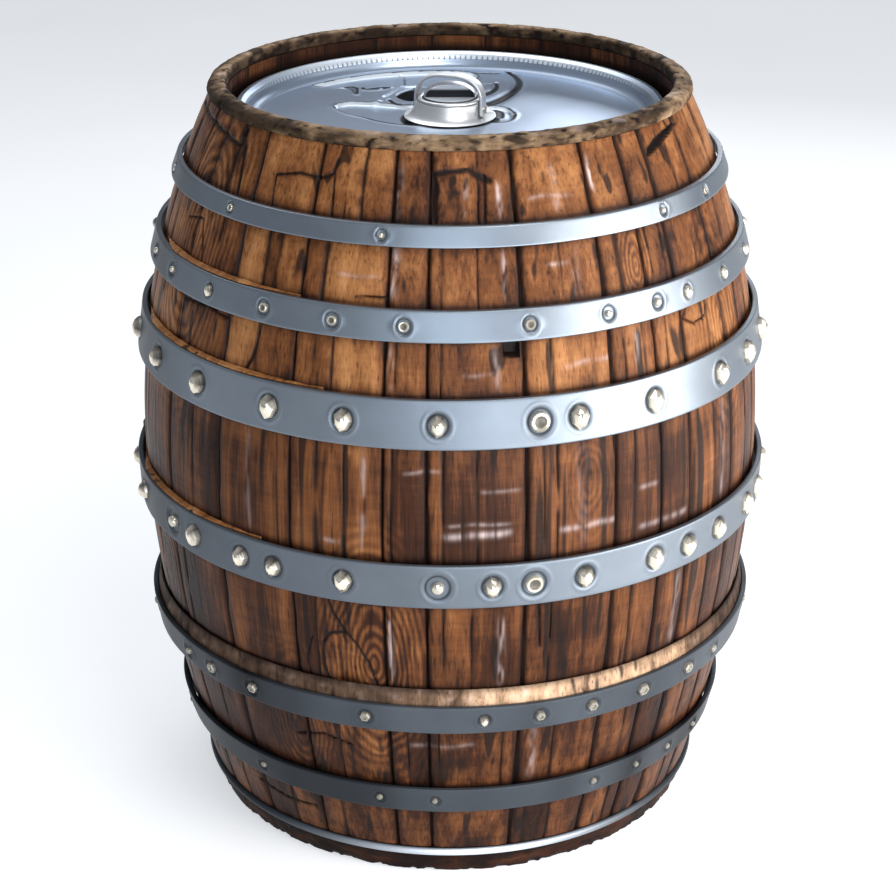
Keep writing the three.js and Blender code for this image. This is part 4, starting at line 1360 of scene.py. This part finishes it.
def make_plunger():
    """The plunger's flat plate, and the hood on the part of it behind its front."""
    outline = [(0, 692.2), (13, 692.2), (13, SPRING_SEAT), (22, SPRING_SEAT), (22, 692.2),
               (24.6, 692.2), (25, 692.6), (25, 698.7), (24.5, PLUNGER_DECK), (0, PLUNGER_DECK)]
    plate = lathe(outline, 96)
    # Painted shadow on the plate's rim.
    rim = np.hypot(*plate[0][:, :2].T) > 24.8
    piece("plunger_plate", plate, neck_steel, ["plunger_dome"],
          {"dark": 0.9 * rim, "wear": 0.85 * ~rim}, sharp=30, body="plunger")
    rise = PLUNGER_TOP - PLUNGER_DECK
    buried = PLUNGER_DECK - 0.5
    profile = [(0, buried), (PLUNGER_RADIUS, buried), (PLUNGER_RADIUS, PLUNGER_DECK)]
    for t in range(3, 90, 3):
        lifted = math.radians(t)
        profile.append((PLUNGER_RADIUS * math.cos(lifted), PLUNGER_DECK + rise * math.sin(lifted)))
    points, faces = lathe([*profile, (0, PLUNGER_TOP)], 144)
    x, y, z = points.T
    radius = np.maximum(np.hypot(x, y), 1e-6)
    limit = np.where(y < 0, HOOD_FRONT / np.clip(-y / radius, 1e-3, 1), 99)
    share = np.minimum(1, limit / radius)
    points = np.column_stack([x * share, y * share, z])
    # Painted shade and reflection: the hood's flat front is dark, darkest low down.
    on_face = smooth(HOOD_FRONT - 1.2, HOOD_FRONT - 0.4, -points[:, 1])
    dark = on_face * (0.35 + 0.64 * smooth(708.0, 705.4, z))
    piece("hood", (points, faces), dome_chrome, ["plunger_dome"], {"dark": dark}, body="plunger")


def make_spring():
    """The return spring, short enough for the plate's groove when the plunger is down."""
    turns = np.arange(0, 360 * SPRING_TURNS + 1, 7.5)
    height = np.linspace(SPRING_FOOT, SPRING_TOP, len(turns))
    section = np.radians(all_round(10))
    out, down = SPRING_WIRE * np.cos(section), SPRING_WIRE * np.sin(section)
    rings = around(SPRING_RADIUS + out, turns[:, None], height[:, None] - down)
    ends = around(SPRING_RADIUS, turns[[0, -1]], height[[0, -1]])
    points = np.vstack([rings.reshape(-1, 3), ends])
    dark = np.zeros(len(points))
    piece("spring_coil", capped(points, len(section)), spring_steel, ["return_spring"],
          {"dark": dark})


def make_bail():
    """A strap of even section along an arch, tapered to a round foot below each pivot."""
    half = [(PIVOT_REACH, 697.5), (31.2, 704), (27.5, 711), (20, 716), (10, 718.2)]
    upper = [(-x, z) for x, z in half] + [(0, 718.4)] + half[::-1]
    ends = (-PIVOT_REACH, PIVOT_HEIGHT), (PIVOT_REACH, PIVOT_HEIGHT)
    arch = curve_through([ends[0], *upper, ends[1]], 6, False)
    foot_turns = [math.radians(t) for t in (82, 70, 55, 40, 25, 12)]
    foot = [PIVOT_HEIGHT - PIVOT_DISC * math.sin(t) for t in foot_turns]
    line = np.array([(-PIVOT_REACH, z) for z in foot] + [tuple(p) for p in arch]
                    + [(PIVOT_REACH, z) for z in foot[::-1]])
    narrowing = [math.cos(t) for t in foot_turns]
    share = narrowing + [1.0] * len(arch) + narrowing[::-1]
    along = np.gradient(line, axis=0)
    along /= np.linalg.norm(along, axis=1)[:, None]
    section = rounded([(-6.5, -1.5), (6.5, -1.5), (6.5, 1.5), (-6.5, 1.5)], 1.3, 5)
    rings = []
    for place, way, width in zip(line, along, share):
        x = place[0] - section[:, 1] * way[1]
        z = place[1] + section[:, 1] * way[0]
        rings.append(np.column_stack([x, section[:, 0] * width, z]))
    count = len(section)
    last = (len(rings) - 1) * count
    faces = [
        grid_faces(len(rings), count, wrap_columns=True),
        np.arange(count)[None, ::-1],
        (last + np.arange(count))[None, :],
    ]
    # Painted shade: the strap's inner side is dark and its edges darker.
    inner_side = section[:, 1] < 0
    corner = ridge(np.abs(section[:, 0]) - 6.0, 0.6)
    edge = np.where(inner_side, np.maximum(0.9 * corner, 0.5), 0.25 * corner)
    strap = turned_to_bail(np.concatenate(rings)), faces
    dark = np.tile(edge, len(rings))
    piece("bail", strap, bright_steel, ["bail_handle"], {"dark": dark}, body="bail")


def make_pins():
    for side, label in ((-1, "left"), (1, "right")):
        shank = rod_along_x(2.4, side * 27.3, side * 35.4, PIVOT_HEIGHT)
        head = rod_along_x(4.0, side * 34.4, side * 35.8, PIVOT_HEIGHT, dome=0.2)
        points, faces = joined([shank, head])
        pin = turned_to_bail(points), faces
        dark = np.zeros(len(points))
        piece("pin_" + label, pin, stud_steel, ["bail_pin_" + label], {"dark": dark})


# ---------------------------------------------------------------- inner pieces kept from the CAD

KEPT = {
    "keg_vessel": vessel_steel,
    "vessel_locating_ring": raw_oak,
    "valve_body": lid_steel,
    "neck_gasket": black_rubber,
    "neck_lock_nut": bright_steel,
    "dip_tube": bright_steel,
    "plunger_stem": bright_steel,
    "plunger_seal": black_rubber,
}


def paint_kept_nodes():
    boards = {name: head_oak for name in nodes if name.startswith("head_board_")}
    for name, material in {**KEPT, **boards}.items():
        node = nodes[name]
        node.data.materials.clear()
        node.data.materials.append(material)


# ---------------------------------------------------------------- floor, light and camera


def make_floor():
    """A large pale floor, slightly uneven in tone and faintly bright of its own."""
    half, count, drop = 9000.0, 25, 0.5
    x, y = np.meshgrid(*[np.linspace(-half, half, count)] * 2)
    points = np.stack([x.ravel(), y.ravel(), np.full(x.size, -drop)], axis=-1)
    mesh = bpy.data.meshes.new("floor")
    mesh.from_pydata((points * MM).tolist(), [], grid_faces(count, count).tolist())
    paint = Paint("floor_paint", 0.9, specular=0.1)
    cloud = paint.grain((1.2, 1.2, 1.2), detail=2.0)
    shade = paint.ramp(cloud, [(0.3, (0.60, 0.61, 0.62)), (0.7, (0.66, 0.67, 0.68))])
    paint.put(paint.shader.inputs["Emission Color"], (0.97, 0.98, 1.0))
    paint.put(paint.shader.inputs["Emission Strength"], 0.50)
    mesh.materials.append(paint.finish(shade))
    floor = bpy.data.objects.new("floor", mesh)
    bpy.context.scene.collection.objects.link(floor)


# Each soft panel's name, place, target, size, power and colour.
LIGHTS = [
    ("key", (1.42, -0.72, 0.60), (0, 0, 0.42), (1.5, 1.3), 38, (1.0, 0.955, 0.92)),
    ("front", (-0.05, -2.9, 1.0), (0, 0, 0.4), (1.5, 1.9), 33, (0.80, 0.89, 1.0)),
    ("low", (0.62, -1.30, 0.25), (0, 0, 0.35), (0.9, 0.45), 7, (0.95, 0.97, 1.0)),
    ("high", (0.7, -1.5, 2.5), (0, 0, 0.7), (1.2, 0.9), 26, (1.0, 0.98, 0.96)),
    ("back", (0.80, 2.4, 1.28), (0, 0, 0.7), (1.3, 0.8), 13, (0.90, 0.94, 1.0)),
    ("top", (-0.3, 0.9, 2.3), (0, 0, 0.6), (1.6, 1.6), 18, (0.95, 0.97, 1.0)),
]


def make_light(name, place, target, size, power, colour):
    light = bpy.data.lights.new(name, "AREA")
    light.shape = "RECTANGLE"
    light.size, light.size_y = size
    light.energy = power
    light.color = colour
    lamp = bpy.data.objects.new(name, light)
    lamp.location = place
    lamp.rotation_euler = (Vector(target) - Vector(place)).to_track_quat("-Z", "Y").to_euler()
    lamp.visible_camera = False
    bpy.context.scene.collection.objects.link(lamp)


def make_lights():
    world = bpy.data.worlds.new("studio")
    world.use_nodes = True
    background = world.node_tree.nodes["Background"]
    background.inputs["Color"].default_value = (0.86, 0.92, 1.0, 1.0)
    background.inputs["Strength"].default_value = 0.36
    bpy.context.scene.world = world
    for light in LIGHTS:
        make_light(*light)


def make_camera():
    camera = bpy.data.cameras.new("camera")
    camera.lens = 91.76
    camera.sensor_width = 36.0
    camera.shift_x = -2 / 896
    view = bpy.data.objects.new("camera", camera)
    view.location = (0.0, -2.1038, 1.2384)
    view.rotation_euler = (math.radians(66.84), 0.0, 0.0)
    bpy.context.scene.collection.objects.link(view)
    bpy.context.scene.camera = view
    bpy.context.scene.view_settings.view_transform = "Standard"


make_staves()
make_rim()
make_foot()
make_packing_ring()
make_base_wire()
make_hoops()
make_slivers()
make_lid()
make_seals()
make_neck()
make_plunger()
make_spring()
make_bail()
make_pins()
paint_kept_nodes()
make_floor()
make_lights()
make_camera()

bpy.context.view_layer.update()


def plain(box):
    return [[float(v) for v in corner] for corner in box]
